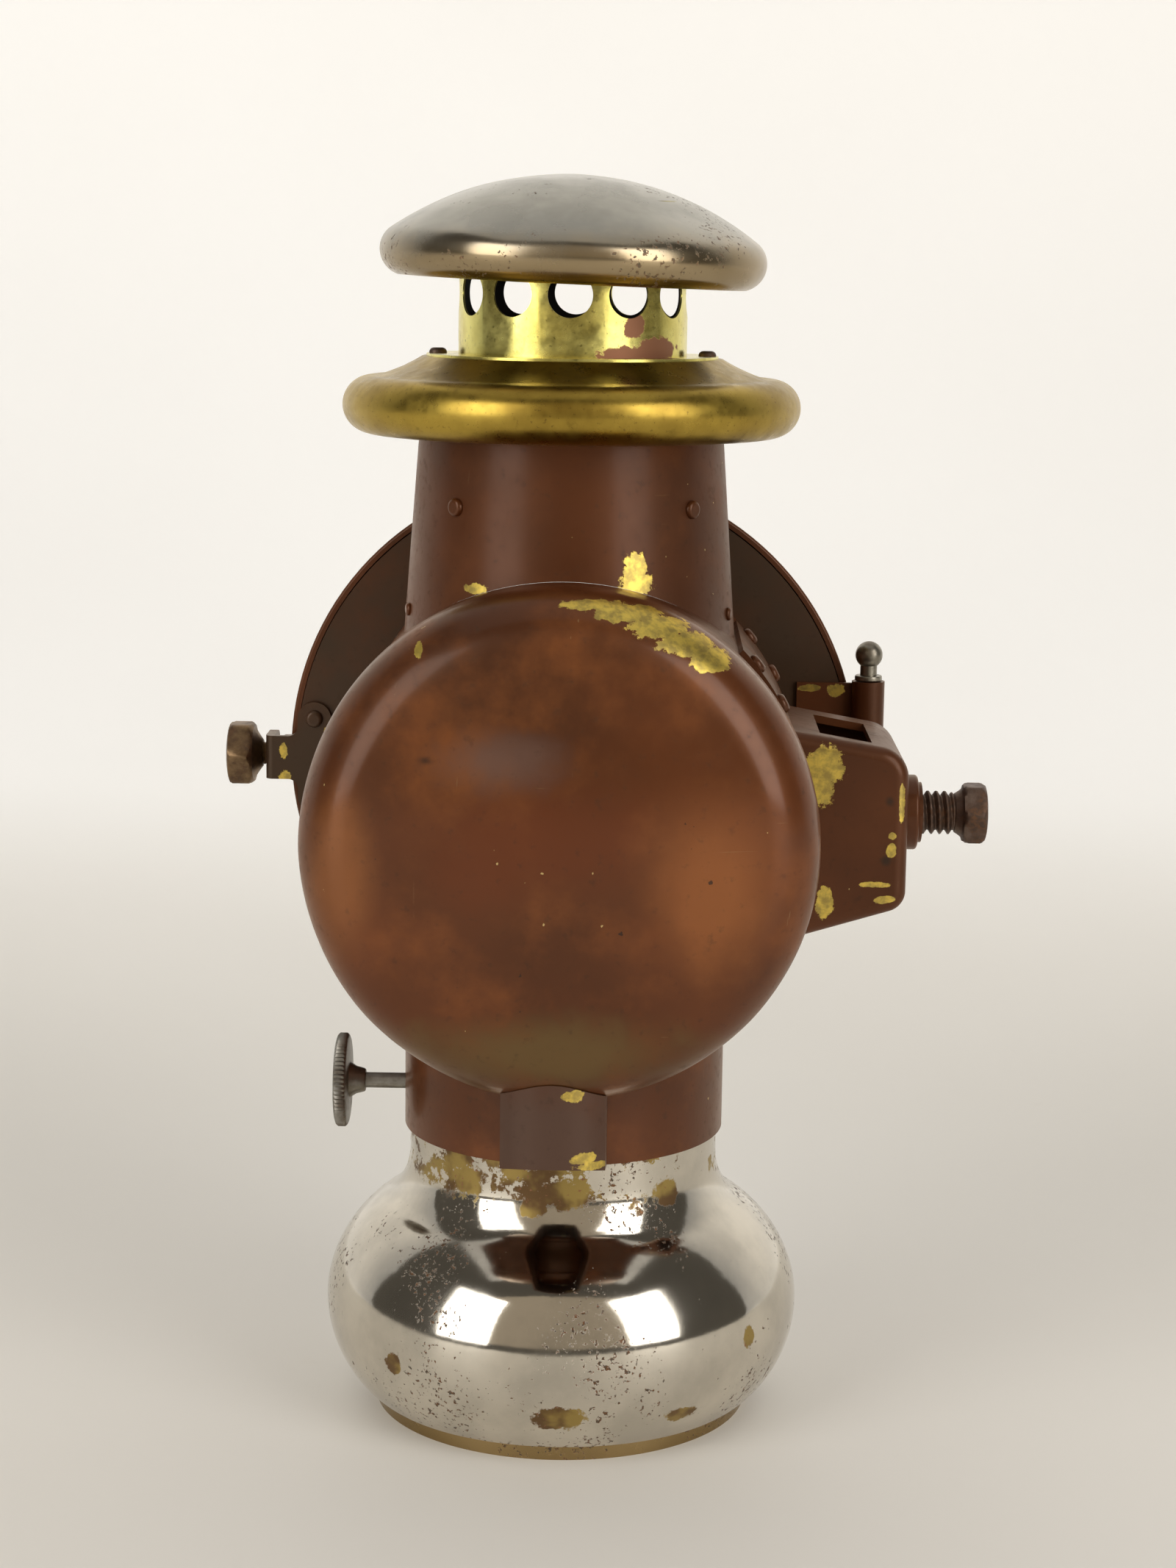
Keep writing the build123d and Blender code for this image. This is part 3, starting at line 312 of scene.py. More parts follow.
def plated(name, tint, rough_low, rough_high, band_z=None, pits=0.5, spots=(), brown_z=None, brown=0.5):
    """Nickel plate: pitted, speckled with rust, and worn to brass in bands and spots."""
    s = Shader(name)
    cloud = s.noise(55.0, 5.0, 0.6)
    pit_noise = s.noise(820.0, 4.0, 0.65)
    pit_zone = s.noise(38.0, 3.0, 0.55, shift=(6, 2, 5))
    speck = s.noise(1900.0, 2.0, 0.5, shift=(2, 2, 8))
    base = s.mix(s.ramp(cloud, 0.35, 0.70), tint, rgb(*(0.80 * c for c in tint[:3])))
    # Below brown_z the plate turns browner. On the hood this band is a painted reflection of the dark,
    # warm room; on the foot it only makes the bottom browner.
    if brown_z is not None:
        drift = s.math("MULTIPLY", s.math("SUBTRACT", cloud, 0.5), 0.010)
        level = s.math("ADD", s.axis("Z"), drift)
        low_brown = s.ramp(level, brown_z[1] * MM, brown_z[0] * MM)
        base = s.mix(s.math("MULTIPLY", low_brown, brown), base, rgb(0.34, 0.235, 0.10))
    pit_limit = s.blend(s.ramp(pit_zone, 0.40, 0.62), 0.72, 0.57)
    pit = s.ramp(s.math("SUBTRACT", pit_noise, pit_limit), 0.0, 0.035)
    pit = s.math("MULTIPLY", pit, pits)
    rust = s.mix(s.ramp(speck, 0.4, 0.6), rgb(0.16, 0.07, 0.025), rgb(0.07, 0.05, 0.03))
    base = s.mix(pit, base, rust)
    rough = s.blend(s.ramp(cloud, 0.3, 0.75), rough_low, rough_high)
    rough = s.math("ADD", rough, s.math("MULTIPLY", pit, 0.35))
    metal = s.blend(pit, 1.0, 0.35)
    ragged = s.noise(240.0, 6.0, 0.72, shift=(5, 1, 1))
    stain = s.noise(120.0, 3.0, 0.5, shift=(7, 2, 6))
    tone = s.mix(s.ramp(stain, 0.40, 0.58), STAIN_DARK, STAIN_OLIVE)
    tone = s.mix(s.ramp(pit_noise, 0.60, 0.70), tone, COPPER_STAIN)
    if band_z is not None:
        drift = s.math("MULTIPLY", s.math("SUBTRACT", ragged, 0.5), 0.024)
        band = s.ramp(s.math("ADD", s.axis("Z"), drift), band_z[0] * MM, band_z[1] * MM)
        zone = s.ramp(s.noise(85.0, 7.0, 0.72, shift=(1, 4, 9)), 0.53, 0.55)
        band = s.math("MULTIPLY", band, zone)
        base = s.mix(band, base, tone)
        rough = s.blend(band, rough, 0.42)
        metal = s.blend(band, metal, 0.75)
    if spots:
        bare = s.patches(spots, ragged, 0.9, 0.08)
        base = s.mix(bare, base, tone)
        rough = s.blend(bare, rough, 0.45)
        metal = s.blend(bare, metal, 0.75)
    s.set(Base_Color=base, Roughness=rough, Metallic=metal)
    height = s.math("MULTIPLY", pit, -1.0)
    normal = s.bump(cloud, 0.12, 0.4)
    s.set(Normal=s.bump(height, 0.5, 0.08, normal))
    return s.material


def brass(name, bright, dull, rough_low, rough_high, stains=(), soot_radius=None):
    """Satin brass with mottled tarnish, copper stains and, where asked, a sooty inside."""
    s = Shader(name)
    cloud = s.noise(60.0, 5.0, 0.6)
    mottle = s.noise(230.0, 5.0, 0.65, shift=(2, 3, 1))
    fine = s.noise(1100.0, 3.0, 0.6)
    base = s.mix(s.ramp(cloud, 0.32, 0.68), bright, dull)
    dark = rgb(*(0.35 * c for c in dull[:3]))
    base = s.mix(s.math("MULTIPLY", s.ramp(mottle, 0.58, 0.76), 0.45), base, dark)
    base = s.mix(s.math("MULTIPLY", s.ramp(fine, 0.62, 0.70), 0.5), base, rgb(0.10, 0.06, 0.02))
    rough = s.blend(s.ramp(mottle, 0.35, 0.65), rough_low, rough_high)
    metal = 1.0
    if stains:
        ragged = s.noise(300.0, 6.0, 0.7, shift=(8, 3, 2))
        stain = s.patches(stains, ragged, 1.0, 0.08)
        base = s.mix(stain, base, COPPER_STAIN)
        rough = s.blend(stain, rough, 0.5)
        metal = s.blend(stain, 1.0, 0.6)
    if soot_radius is not None:
        flat = s.add("ShaderNodeVectorMath", {0: s.coords, 1: (1, 1, 0)}, operation="MULTIPLY")
        reach = s.add("ShaderNodeVectorMath", {0: flat.outputs[0]}, operation="LENGTH").outputs["Value"]
        soot = s.ramp(reach, soot_radius * MM + 0.0002, soot_radius * MM - 0.0002)
        base = s.mix(soot, base, SOOT)
        rough = s.blend(soot, rough, 0.8)
        metal = s.blend(soot, metal, 0.1)
    s.set(Base_Color=base, Roughness=rough, Metallic=metal)
    height = s.math("ADD", s.math("MULTIPLY", mottle, 0.6), s.math("MULTIPLY", fine, 0.25))
    s.set(Normal=s.bump(height, 0.18, 0.05, s.bump(cloud, 0.10, 0.4)))
    return s.material


def steel(name, light, dark, rust_amount, rough=0.42):
    """Old steel: grey on the crests, brown rust in the hollows."""
    s = Shader(name)
    cloud = s.noise(170.0, 5.0, 0.65)
    fine = s.noise(900.0, 4.0, 0.6)
    base = s.mix(s.ramp(cloud, 0.35, 0.65), light, dark)
    rust = s.mix(s.ramp(fine, 0.4, 0.6), rgb(0.17, 0.075, 0.03), rgb(0.075, 0.045, 0.028))
    mask = s.math("MULTIPLY", s.ramp(cloud, 0.60 - 0.25 * rust_amount, 0.72), rust_amount)
    base = s.mix(mask, base, rust)
    s.set(
        Base_Color=base,
        Roughness=s.blend(mask, rough, 0.72),
        Metallic=s.blend(mask, 0.95, 0.35),
        Normal=s.bump(s.math("ADD", cloud, s.math("MULTIPLY", fine, 0.6)), 0.45, 0.10),
    )
    return s.material


def glass(name):
    """Clear moulded glass, a little wavy and dusty."""
    s = Shader(name)
    wave = s.noise(26.0, 2.0, 0.5)
    dust = s.noise(700.0, 4.0, 0.6)
    s.set(
        Base_Color=s.mix(s.ramp(dust, 0.5, 0.8), rgb(0.96, 0.98, 0.97), rgb(0.84, 0.85, 0.80)),
        Roughness=s.blend(s.ramp(dust, 0.45, 0.75), 0.02, 0.14),
        Normal=s.bump(wave, 0.12, 0.6),
    )
    s.bsdf.inputs["Transmission Weight"].default_value = 1.0
    s.bsdf.inputs["IOR"].default_value = 1.5
    return s.material


def cloth(name, light, dark, weave_scale):
    """Woven cotton or cord: two crossed sets of threads."""
    s = Shader(name)
    across = s.add(
        "ShaderNodeTexWave",
        {"Vector": s.coords, "Scale": weave_scale, "Distortion": 0.6, "Detail": 1.0},
        bands_direction="X",
    ).outputs["Fac"]
    along = s.add(
        "ShaderNodeTexWave",
        {"Vector": s.coords, "Scale": weave_scale, "Distortion": 0.6, "Detail": 1.0},
        bands_direction="Z",
    ).outputs["Fac"]
    weave = s.math("MULTIPLY", across, along)
    char = s.ramp(s.axis("Z"), 106 * MM, 112 * MM)
    base = s.mix(weave, dark, light)
    base = s.mix(char, base, rgb(0.02, 0.018, 0.016))
    s.set(Base_Color=base, Roughness=0.9, Normal=s.bump(weave, 0.6, 0.2))
    return s.material


def floor_paper(name):
    """The matt, warm white table that sweeps up into a brightly lit wall, faintly marked."""
    s = Shader(name)
    broad = s.noise(1.6, 3.0, 0.5)
    mark = s.noise(22.0, 5.0, 0.7)
    base = s.mix(s.ramp(broad, 0.3, 0.7), rgb(0.76, 0.73, 0.675), rgb(0.81, 0.785, 0.735))
    speck = s.math("MULTIPLY", s.ramp(mark, 0.66, 0.80), 0.10)
    base = s.mix(speck, base, rgb(0.62, 0.56, 0.47))
    wall = s.ramp(s.axis("Y"), -0.25, -0.95)
    tint = s.mix(wall, rgb(0.96, 0.93, 0.87), rgb(0.95, 0.965, 0.985))
    s.set(Base_Color=base, Roughness=0.55, Normal=s.bump(mark, 0.04, 0.3))
    s.set(Emission_Color=tint, Emission_Strength=s.blend(wall, TABLE_GLOW, WALL_GLOW))
    s.bsdf.inputs["Specular IOR Level"].default_value = 0.3
    return s.material


# ---------------------------------------------------------------------------
# Mesh helpers
# ---------------------------------------------------------------------------


def mesh_object(name, bm, smooth_angle=35.0):
    """Wrap a bmesh in an object with smooth shading across gentle angles."""
    bmesh.ops.recalc_face_normals(bm, faces=bm.faces)
    data = bpy.data.meshes.new(name)
    limit = math.radians(smooth_angle)
    for face in bm.faces:
        face.smooth = True
    for edge in bm.edges:
        if len(edge.link_faces) == 2 and edge.calc_face_angle(0) > limit:
            edge.smooth = False
    bm.to_mesh(data)
    bm.free()
    piece = bpy.data.objects.new(name, data)
    bpy.context.scene.collection.objects.link(piece)
    return piece


def lathe(profile, steps, shape=None):
    """Turn a closed profile, (radius, height) in mm, about Z. shape(point, radius) moves each point."""
    bm = bmesh.new()
    rings = []
    for k in range(steps):
        angle = 2 * math.pi * k / steps
        ring = []
        for radius, height in profile:
            point = Vector((radius * math.cos(angle), radius * math.sin(angle), height))
            if shape is not None:
                point = shape(point, radius)
            ring.append(bm.verts.new(point * MM))
        rings.append(ring)
    count = len(profile)
    for k in range(steps):
        here, there = rings[k], rings[(k + 1) % steps]
        for i in range(count):
            j = (i + 1) % count
            bm.faces.new((here[i], there[i], there[j], here[j]))
    bmesh.ops.remove_doubles(bm, verts=bm.verts, dist=1e-6)
    return bm


def arc(centre, radius, start, end, steps):
    """Points on a circle between two angles in degrees."""
    points = []
    for k in range(steps + 1):
        turn = math.radians(start + (end - start) * k / steps)
        points.append((centre[0] + radius * math.cos(turn), centre[1] + radius * math.sin(turn)))
    return points


def place(piece, body, slot, material, *replaced):
    """Give a new piece its material and body, and hide the CAD nodes it stands for; the slot is not used.
    """
    piece.data.materials.clear()
    piece.data.materials.append(material)
    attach(piece, body)
    if replaced:
        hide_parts(*replaced)
    return piece


def paint(material, *names):
    """Give CAD nodes a material."""
    for name in names:
        data = nodes[name].data
        data.materials.clear()
        data.materials.append(material)


# ---------------------------------------------------------------------------
# Pieces
# ---------------------------------------------------------------------------

OPTIC_Z = 147.2
FINE = 224


def along_optic(point):
    """Move a point made about Z so that its height runs along +Y on the optic axis."""
    return Vector((point.x, point.z, OPTIC_Z - point.y))


def ripple(point, scale, amount):
    """A smooth, small unevenness, as in hand-planished sheet."""
    return noise.noise(point * scale) * amount


def make_bowl(material):
    """The fount: a squat turned bowl with a flared neck."""
    low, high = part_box("fount_bowl")
    floor_z, top_z = low.z / MM, high.z / MM
    centre, half_width, half_height = (25.35, 24.9), 31.15, 29.1
    neck, flare_top = 36.6, 61.5

    def point(angle):
        turn = math.radians(angle)
        return Vector(
            (centre[0] + half_width * math.cos(turn), centre[1] + half_height * math.sin(turn))
        )

    start = math.degrees(math.asin((floor_z - centre[1]) / half_height))
    flare_start = 56.0
    outer = [point(start + (flare_start - start) * k / 60) for k in range(61)]
    begin, end = outer[-1], Vector((neck, flare_top))
    span = (end - begin).length
    heading = (point(flare_start + 0.5) - point(flare_start)).normalized() * span * 1.05
    leaving = Vector((0, 1)) * span * 1.0
    for k in range(1, 21):
        t = k / 20
        outer.append(
            begin * (2 * t**3 - 3 * t**2 + 1)
            + heading * (t**3 - 2 * t**2 + t)
            + end * (3 * t**2 - 2 * t**3)
            + leaving * (t**3 - t**2)
        )
    profile = [(0.0, floor_z)] + [tuple(p) for p in outer] + [(neck, top_z), (neck - 0.8, top_z)]
    profile += [(neck - 0.8, flare_top), (neck - 0.8, floor_z + 0.8), (0.0, floor_z + 0.8)]

    def uneven(p, radius):
        if radius < 40:
            return p
        swell = ripple(p, 0.035, 0.22)
        flat = Vector((p.x, p.y, 0)).normalized()
        return p - flat * abs(swell)

    piece = mesh_object("bowl_body", lathe(profile, 288, uneven), 40)
    return place(piece, "fount", "nickel", material, "fount_bowl")


def make_hood(material):
    """The mushroom hood: tipped a little, with shallow dents."""
    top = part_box("hood")[1].z / MM
    sheet = 0.8
    crown, rim, curl = 71.0, (38.2, 271.8), 6.0
    crown_centre = (0, top - crown)
    lean = math.degrees(math.atan2(rim[1] - crown_centre[1], rim[0]))
    outer = arc(crown_centre, crown, 90, lean, 48) + arc(rim, curl, lean, -72, 20)[1:]
    inner = arc(rim, curl - sheet, -72, lean, 14) + arc(crown_centre, crown - sheet, lean, 90, 36)[1:]
    outer[0] = (0.0, outer[0][1])
    inner[-1] = (0.0, inner[-1][1])
    tip = Matrix.Rotation(math.radians(-1.9), 3, "Y") @ Matrix.Rotation(math.radians(-0.5), 3, "X")
    pivot = Vector((0, 0, 273.0))
    dents = [(Vector((-27, 20, 283)), 11.0, 0.9), (Vector((20, 30, 281)), 8.0, 0.35)]

    def worn(p, radius):
        down = ripple(p, 0.05, 0.3) * min(1.0, radius / 15)
        for centre, size, depth in dents:
            down -= depth * math.exp(-((p - centre).length / size) ** 2)
        p = p + Vector((0, 0, min(down, 0.0)))
        return tip @ (p - pivot) + pivot

    piece = mesh_object("hood_cap", lathe(outer + inner, FINE, worn), 50)
    return place(piece, "lamp_body", "hood_nickel", material, "hood")


def make_crown(material):
    """The rolled crown ring."""
    plateau, plateau_z, roll, sheet = 34.5, 249.0, 6.5, 0.8
    centre = (46.2, 238.0)
    inner = 25.5
    lip = 35.3
    start = arc(centre, roll, 100, 100, 1)[0]
    under = arc(centre, roll - sheet, 100, 100, 1)[0]

    def cove(a, middle, b, steps):
        points = []
        for k in range(steps + 1):
            t = k / steps
            c = [2 * m - (p + q) / 2 for p, q, m in zip(a, b, middle)]
            weights = ((1 - t) ** 2, 2 * t * (1 - t), t * t)
            points.append(tuple(weights[0] * a[i] + weights[1] * c[i] + weights[2] * b[i] for i in (0, 1)))
        return points

    profile = [(inner, plateau_z)] + cove((plateau, plateau_z), (39.5, 246.4), start, 12)
    profile += arc(centre, roll, 100, -90, 40)[1:]
    profile += [(lip, centre[1] - roll), (lip, centre[1] - roll + sheet)]
    profile += arc(centre, roll - sheet, -90, 100, 30)
    profile += cove(under, (39.2, 246.4 - sheet), (plateau - 0.3, plateau_z - sheet), 8)[1:]
    profile += [(inner, plateau_z - sheet)]

    def worn(p, radius):
        if radius < 38:
            return p
        flat = Vector((p.x, p.y, 0)).normalized()
        return p - flat * abs(ripple(p, 0.04, 0.3))

    piece = mesh_object("crown_roll", lathe(profile, FINE, worn), 30)
    return place(piece, "lamp_body", "crown_brass", material, "crown_ring")


def make_dome(material):
    """The drum's domed back cover with its rolled seam."""
    radius, edge_y, rounding, apex, sheet = 56.0, 64.0, 14.5, 82.5, 0.8
    start_y, drum, lip = 55.0, 54.0, 54.7
    edge = (radius - rounding, edge_y)
    rise = apex - edge_y
    crown = (edge[0] ** 2 + rise**2 - rounding**2) / (2 * (rise - rounding))
    centre = (0.0, apex - crown)
    lean = math.degrees(math.atan2(edge[1] - centre[1], edge[0]))
    bead = arc((lip - 0.4, 57.4), 0.8, -60, 60, 14)
    profile = [(drum, start_y), (lip, start_y)] + bead + [(lip, 58.35), (lip + 0.7, 58.4)]
    profile += [(radius - 0.15, 58.75), (radius, 59.2)] + arc(edge, rounding, 0, lean, 26)
    profile += arc(centre, crown, lean, 90, 30)[1:]
    profile[-1] = (0.0, apex)
    inner = arc(centre, crown - sheet, 90, lean, 20) + arc(edge, rounding - sheet, lean, 0, 16)[1:]
    inner[0] = (0.0, apex - sheet)
    profile += inner + [(radius - sheet, 59.2), (drum, 59.2)]
    dents = [
        (Vector((22, 30, 76)), 16.0, 0.45),
        (Vector((-30, -20, 75)), 18.0, 0.35),
        (Vector((-5, 46, 70)), 12.0, 0.40),
    ]

    def worn(p, _radius):
        inward = 0.0
        if p.z > 60:
            inward = abs(ripple(p, 0.03, 0.35))
            for spot, size, depth in dents:
                inward += depth * math.exp(-((p - spot).length / size) ** 2)
        flat = Vector((p.x, p.y, 0))
        reach = flat.length / radius
        lean_in = Vector((0, 0, 1)) * (1 - reach**4) + flat / radius * reach**4
        return along_optic(p - lean_in * inward)

    piece = mesh_object("dome_cover", lathe(profile, FINE, worn), 40)
    return place(piece, "lamp_body", "brown_lacquer", material, "back_dome")


def turned_bar(name, stations, steps, origin, smooth_angle=30):
    """A bar along +X from (x, radius-of-angle) stations, closed at both ends."""
    bm = bmesh.new()
    rings = []
    for x, radius in stations:
        ring = []
        for k in range(steps):
            angle = 2 * math.pi * k / steps
            r = radius(angle) if callable(radius) else radius
            ring.append(
                bm.verts.new(
                    Vector((x, origin[0] + r * math.cos(angle), origin[1] + r * math.sin(angle))) * MM
                )
            )
        rings.append(ring)
    for first, second in zip(rings, rings[1:]):
        for k in range(steps):
            j = (k + 1) % steps
            bm.faces.new((first[k], first[j], second[j], second[k]))
    for ring in (rings[0], rings[-1]):
        bm.faces.new(ring)
    bmesh.ops.remove_doubles(bm, verts=bm.verts, dist=1e-7)
    return mesh_object(name, bm, smooth_angle)


def hexagon(flats, limit, turn=0.0):
    """Radius of a hexagon whose corners are trimmed to a circle."""

    def radius(angle):
        sector = (angle + turn) % (math.pi / 3) - math.pi / 6
        return min(flats / 2 / math.cos(sector), limit)

    return radius


def make_clamp_screw(material):
    """The bracket clamp screw: rolled thread, coned neck and hexagon head."""
    low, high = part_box("clamp_screw")
    head_end, tip = low.x / MM, high.x / MM
    y, z = 0.0, 144.2
    head_base, neck_base = head_end + 5.5, head_end + 7.4
    crest, root, pitch = 5.1, 4.1, 1.96
    flats = 13.4
    stations = []
    for x, limit in ((0, 5.6), (0.25, 6.5), (0.9, 7.1), (1.5, 7.6), (4.1, 7.6), (4.9, 7.2), (5.5, 6.6)):
        stations.append((head_end + x, hexagon(flats, limit)))
    for k in range(1, 9):
        t = k / 8
        stations.append((head_base + 1.9 * t, 6.1 + (4.6 - 6.1) * t**0.75))
    thread_end = tip - 2.0
    count = int((thread_end - neck_base) / pitch * 14)

    def thread(x):
        def radius(angle):
            phase = (x / pitch - angle / (2 * math.pi)) % 1.0
            ridge = 1 - abs(2 * phase - 1)
            ridge = max(0.0, min(1.0, (ridge - 0.12) / 0.68))
            fade = min(1.0, (x - neck_base) / 1.0 + 0.15)
            return root + (crest - root) * ridge * fade

        return radius

    for k in range(1, count + 1):
        x = neck_base + (thread_end - neck_base) * k / count
        stations.append((x, thread(x)))
    stations += [(thread_end + 0.3, 4.2), (thread_end + 0.5, 2.5), (tip, 2.5)]
    piece = turned_bar("clamp_bolt", stations, 72, (y, z), 32)
    return place(piece, "clamp_screw", "rusty_steel", material, "clamp_screw")


def make_latch_screw(material):
    """The door latch screw: short hexagon head, coned neck and fine thread."""
    low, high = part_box("latch_screw")
    tip, head_end = low.x / MM, high.x / MM
    y, z = -56.6, 146.4
    head_base = head_end - 6.6
    crest, root, pitch = 3.0, 2.6, 0.9
    flats = 15.0

    def thread(x):
        def radius(angle):
            phase = (x / pitch - angle / (2 * math.pi)) % 1.0
            return root + (crest - root) * (1 - abs(2 * phase - 1))

        return radius

    stations = [(tip, 2.2)]
    count = 36
    for k in range(count + 1):
        x = tip + 0.3 + (head_base - 2.1 - tip - 0.3) * k / count
        stations.append((x, thread(x)))
    stations += [(head_base - 2.08, 3.4), (head_base - 1.0, 4.9), (head_base - 0.02, 6.5)]
    for x, limit in ((0, 7.2), (0.6, 7.8), (1.2, 8.4), (5.4, 8.4), (6.1, 7.8), (6.4, 7.0), (6.6, 6.0)):
        stations.append((head_base + x, hexagon(flats, limit)))
    piece = turned_bar("latch_bolt", stations, 72, (y, z), 32)
    return place(piece, "latch_screw", "rusty_steel", material, "latch_screw")


def make_knob(material):
    """The wick wheel with its milled edge."""
    low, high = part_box("wick_knob")
    inner_x, outer_x = low.x / MM, high.x / MM
    z = 76.7
    rim = 11.2
    teeth = 64

    def milled(radius, depth):
        def at(angle):
            phase = (angle * teeth / (2 * math.pi)) % 1.0
            return radius - depth * abs(2 * phase - 1)

        return at

    hub_end = inner_x + 4.0
    stations = [(inner_x, 2.5), (inner_x + 0.3, 2.8), (inner_x + 2.2, 3.3), (hub_end - 0.2, 4.3)]
    stations += [(hub_end, 4.9), (hub_end + 0.02, 10.2), (hub_end + 0.25, milled(10.8, 0.2))]
    stations += [(hub_end + 0.7, milled(rim, 0.45)), (outer_x - 0.7, milled(rim, 0.45))]
    stations += [(outer_x - 0.25, milled(10.8, 0.2)), (outer_x, 10.1), (outer_x, 9.3)]
    stations += [(outer_x - 0.6, 8.9), (outer_x - 0.6, 2.2)]
    piece = turned_bar("wick_wheel", stations, teeth * 4, (0.0, z), 38)
    return place(piece, "winder", "steel", material, "wick_knob")


def make_stage(material):
    """A table that sweeps up into a pale background, behind the lamp as the camera sees it."""
    bend_y, bend_radius, wall_top, half_width, near = -0.82, 0.42, 3.2, 6.0, 6.0
    path = [(near, 0.0)]
    for k in range(13):
        turn = math.radians(90 * k / 12)
        path.append((bend_y - bend_radius * math.sin(turn), bend_radius * (1 - math.cos(turn))))
    path.append((bend_y - bend_radius, wall_top))
    bm = bmesh.new()
    rows = [[bm.verts.new((x, y, z)) for x in (-half_width, half_width)] for y, z in path]
    for first, second in zip(rows, rows[1:]):
        bm.faces.new((first[0], first[1], second[1], second[0]))
    floor = mesh_object("table", bm, 60)
    floor.data.materials.append(material)


# ---------------------------------------------------------------------------
# Assembly of the picture
# ---------------------------------------------------------------------------

CHIMNEY_BARE = [
    ((-15.2, 34.0, 203.0), (2.6, 5.0, 4.6)),
    ((-15.6, 34.0, 200.6), (4.2, 5.0, 2.6)),
    ((19.8, 31.5, 198.8), (2.6, 5.0, 1.2)),
]
DOME_BARE = [
    ((-6.0, 72.0, 200.2), (7.0, 9.0, 1.0)),
    ((-13.5, 72.0, 198.6), (8.0, 9.0, 1.7)),
    ((-20.5, 72.5, 195.8), (7.0, 9.0, 2.2)),
    ((-26.5, 73.0, 192.4), (6.5, 9.0, 2.5)),
    ((-31.5, 73.0, 189.2), (4.5, 9.0, 2.4)),
    ((29.5, 73.4, 190.4), (0.9, 5.0, 1.7)),
]
SOCKET_BARE = [
    ((-59.0, 22.0, 158.7), (4.6, 4.0, 4.5)),
    ((-58.6, 22.0, 153.2), (2.6, 4.0, 4.0)),
    ((-76.8, 21.0, 150.2), (0.7, 3.0, 5.0)),
    ((-74.9, 22.0, 142.7), (0.9, 3.0, 0.9)),
    ((-74.6, 22.0, 139.2), (1.2, 3.0, 1.6)),
    ((-71.4, 22.0, 131.2), (3.6, 3.0, 0.7)),
    ((-73.6, 22.0, 127.8), (2.4, 3.0, 0.9)),
    ((-59.6, 22.0, 126.4), (2.2, 4.0, 3.6)),
]
SOCKET_ZONES = [
    ((-64.0, 2.0, 163.0), (9.0, 9.0, 5.0), rgb(0.030, 0.018, 0.012), 0.9),
    ((-73.5, 22.0, 136.8), (1.6, 4.0, 1.6), rgb(0.030, 0.018, 0.012), 0.9),
    ((-74.0, 22.0, 150.5), (1.4, 4.0, 1.6), rgb(0.030, 0.018, 0.012), 0.8),
]
LATCH_BARE = [
    ((72.9, -56.0, 148.1), (1.1, 12.0, 2.4)),
    ((72.6, -56.0, 141.6), (1.8, 12.0, 1.7)),
    ((61.9, -56.0, 153.6), (1.3, 9.0, 1.3)),
]
VENT_STAINS = [
    ((-12.0, 23.0, 250.5), (6.0, 8.0, 1.6)),
    ((-19.0, 18.0, 251.5), (6.0, 8.0, 2.6)),
    ((-14.0, 22.0, 256.5), (2.2, 6.0, 3.0)),
]
SCOOP_BARE = [
    ((-3.6, 75.0, 95.2), (2.6, 6.0, 1.3)),
    ((-6.4, 73.5, 81.0), (2.9, 6.0, 1.3)),
    ((-8.0, 73.0, 79.2), (3.8, 6.0, 1.0)),
]
HINGE_BARE = [((-59.2, -50.0, 166.2), (2.6, 2.0, 0.9)), ((-65.7, -50.0, 165.8), (2.2, 2.0, 1.7))]
# Colours for painted light on the lacquer: a sheen and two dark reflections.
PAINTED_SHEEN = rgb(0.150, 0.088, 0.070)
PAINTED_OLIVE_REFLECTION = rgb(0.120, 0.075, 0.026)
PAINTED_VIOLET_REFLECTION = rgb(0.085, 0.048, 0.036)
DOME_ZONES = [
    ((8.0, 80.0, 152.0), (30.0, 30.0, 18.0), rgb(0.130, 0.033, 0.009), 0.8),
    # painted sheen: a lighter grey-violet blot on the upper dome
    ((14.0, 80.0, 168.0), (20.0, 30.0, 10.0), PAINTED_SHEEN, 0.7),
    # partly the lacquer's orange tone, partly a painted highlight: a brighter orange blot where the right
    # window's broad highlight falls
    ((-33.0, 78.0, 142.0), (17.0, 30.0, 22.0), rgb(0.330, 0.120, 0.035), 0.6),
    ((46.0, 72.0, 142.0), (10.0, 30.0, 22.0), rgb(0.290, 0.110, 0.035), 0.6),
    # painted reflection: an olive tint along the dome's downward-facing bottom, where it mirrors the table
    # and fount
    ((2.0, 78.0, 105.0), (36.0, 40.0, 11.0), PAINTED_OLIVE_REFLECTION, 0.9),
    ((27.6, 79.9, 168.0), (3.0, 9.0, 1.6), rgb(0.035, 0.016, 0.010), 0.9),
]
# painted shade: one broad dark olive blot that darkens the front flange and latch parts
PAINTED_SHADE_ZONES = [((0.0, -50.0, 147.0), (160.0, 160.0, 160.0), rgb(0.050, 0.034, 0.022), 0.9)]
# painted reflection: a dark violet tint over the whole scoop, as it would mirror the dark room above
SCOOP_ZONES = [((0.0, 74.0, 86.0), (30.0, 90.0, 30.0), PAINTED_VIOLET_REFLECTION, 1.0)]

make_camera()
make_light()
make_stage(floor_paper("table_paper"))

nickel = plated(
    "nickel_fount", rgb(0.66, 0.61, 0.52), 0.07, 0.15, (56.0, 59.0), 1.0,
    [((0.0, 40.0, 60.5), (9.0, 10.0, 3.4)), ((6.0, 40.0, 58.0), (4.0, 10.0, 2.6)),
     ((22.0, 34.0, 62.0), (5.0, 9.0, 3.4)), ((-24.8, 27.1, 58.9), (3.0, 6.0, 3.4)),
     ((-44.0, 33.0, 27.0), (1.5, 6.0, 3.0)), ((-0.9, 54.1, 13.7), (6.0, 8.0, 3.0)),
     ((37.4, 42.0, 21.2), (2.0, 5.0, 2.5)), ((-28.0, 40.0, 12.0), (5.0, 9.0, 2.0))],
)
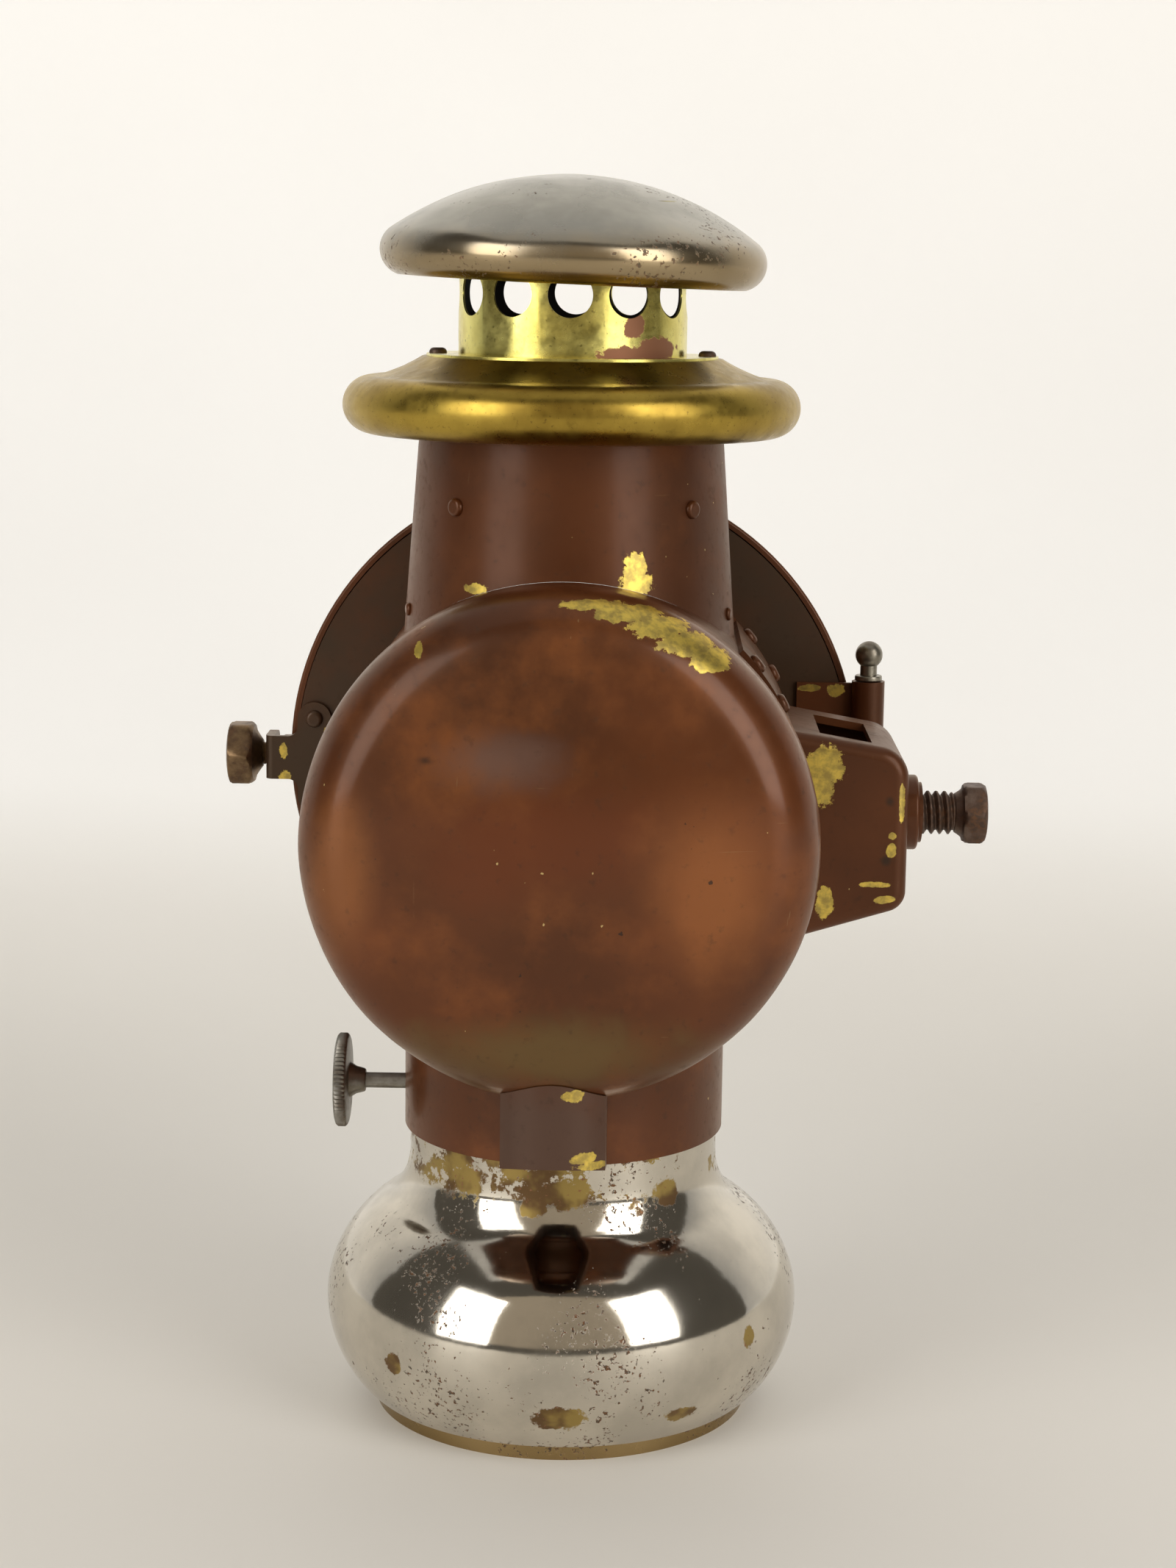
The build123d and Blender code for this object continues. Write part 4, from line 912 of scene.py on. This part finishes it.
# The browner band low on the hood (brown_z) is a painted reflection of the dark, warm room.
hood_nickel = plated(
    "nickel_hood", rgb(0.43, 0.415, 0.365), 0.18, 0.30,
    pits=0.8, brown_z=(270.0, 280.0), brown=0.75,
)
foot_nickel = plated(
    "nickel_foot", rgb(0.34, 0.29, 0.21), 0.18, 0.32,
    pits=1.0, brown_z=(3.0, 8.0), brown=0.9,
)
lacquer_plain = lacquer("lacquer_plain", [], 0.35)
# A darker, olive copy of the lacquer for the front flange and latch: painted shade.
lacquer_painted_shade = lacquer("lacquer_painted_shade", LATCH_BARE, 0.0, PAINTED_SHADE_ZONES, 0.05)
lacquer_collar = lacquer("lacquer_collar", [], 0.7)
lacquer_dome = lacquer("lacquer_dome", DOME_BARE, 0.6, DOME_ZONES)
lacquer_chimney = lacquer("lacquer_chimney", CHIMNEY_BARE, 0.3, dull=0.08)
lacquer_socket = lacquer("lacquer_socket", SOCKET_BARE, 0.1, SOCKET_ZONES, 0.08)
lacquer_scoop = lacquer("lacquer_scoop", SCOOP_BARE, 0.0, SCOOP_ZONES, 0.06)
lacquer_hinge = lacquer("lacquer_hinge", HINGE_BARE, 0.1, dull=0.08)
lacquer_door = lacquer("lacquer_door", [], 0.0, dull=0.06)
crown_brass = brass("brass_crown", rgb(0.47, 0.325, 0.058), rgb(0.31, 0.205, 0.036), 0.27, 0.37)
vent_brass = brass(
    "brass_vent", rgb(0.88, 0.80, 0.26), rgb(0.64, 0.53, 0.13), 0.16, 0.28, VENT_STAINS, 25.85,
)
door_brass = brass("brass_door", rgb(0.62, 0.46, 0.14), rgb(0.40, 0.29, 0.09), 0.22, 0.42)
inner_brass = brass("brass_inner", rgb(0.38, 0.28, 0.11), rgb(0.20, 0.14, 0.07), 0.40, 0.60)
knob_steel = steel("steel_winder", rgb(0.34, 0.325, 0.29), rgb(0.22, 0.20, 0.17), 0.35)
pin_steel = steel("steel_pin", rgb(0.36, 0.33, 0.27), rgb(0.22, 0.20, 0.16), 0.25, 0.30)
bolt_steel = steel("steel_bolt", rgb(0.17, 0.12, 0.095), rgb(0.09, 0.055, 0.04), 0.75, 0.45)
latch_steel = steel("steel_latch", rgb(0.26, 0.17, 0.09), rgb(0.12, 0.075, 0.045), 0.55, 0.42)
silvered = steel("silvered_reflector", rgb(0.88, 0.88, 0.86), rgb(0.78, 0.78, 0.76), 0.06, 0.08)

make_bowl(nickel)
make_hood(hood_nickel)
make_crown(crown_brass)
make_dome(lacquer_dome)
make_clamp_screw(bolt_steel)
make_latch_screw(latch_steel)
make_knob(knob_steel)

paint(foot_nickel, "foot_ring")
paint(
    lacquer_plain, "drum_shell", "collar_stop_ring", "chimney_rivets", "bracket_saddle",
    "saddle_rivets", "clamp_boss", "hinge_rivets", "hinge_door_leaf",
)
paint(lacquer_painted_shade, "front_flange", "latch_strap", "latch_rivets", "latch_lug")
paint(lacquer_collar, "lower_collar")
paint(lacquer_door, "door_ring")
paint(lacquer_chimney, "chimney_shell")
paint(lacquer_socket, "bracket_socket")
paint(lacquer_scoop, "air_scoop")
paint(lacquer_hinge, "hinge_body_leaf")
paint(vent_brass, "vent_collar")
paint(door_brass, "lens_retaining_ring")
paint(
    inner_brass, "fount_top", "filler_neck", "filler_cap", "burner_body", "wick_tube",
    "draught_cone", "inner_flue",
)
paint(knob_steel, "wick_spindle", "wick_sprockets")
paint(pin_steel, "hinge_pin")
paint(bolt_steel, "clamp_pad", "crown_rivets")
paint(silvered, "reflector")
paint(glass("moulded_glass"), "lens_glass")
paint(cloth("gasket_cord", rgb(0.34, 0.31, 0.26), rgb(0.16, 0.14, 0.12), 900.0), "lens_gasket")
paint(cloth("wick_cotton", rgb(0.72, 0.66, 0.54), rgb(0.40, 0.35, 0.27), 420.0), "wick")
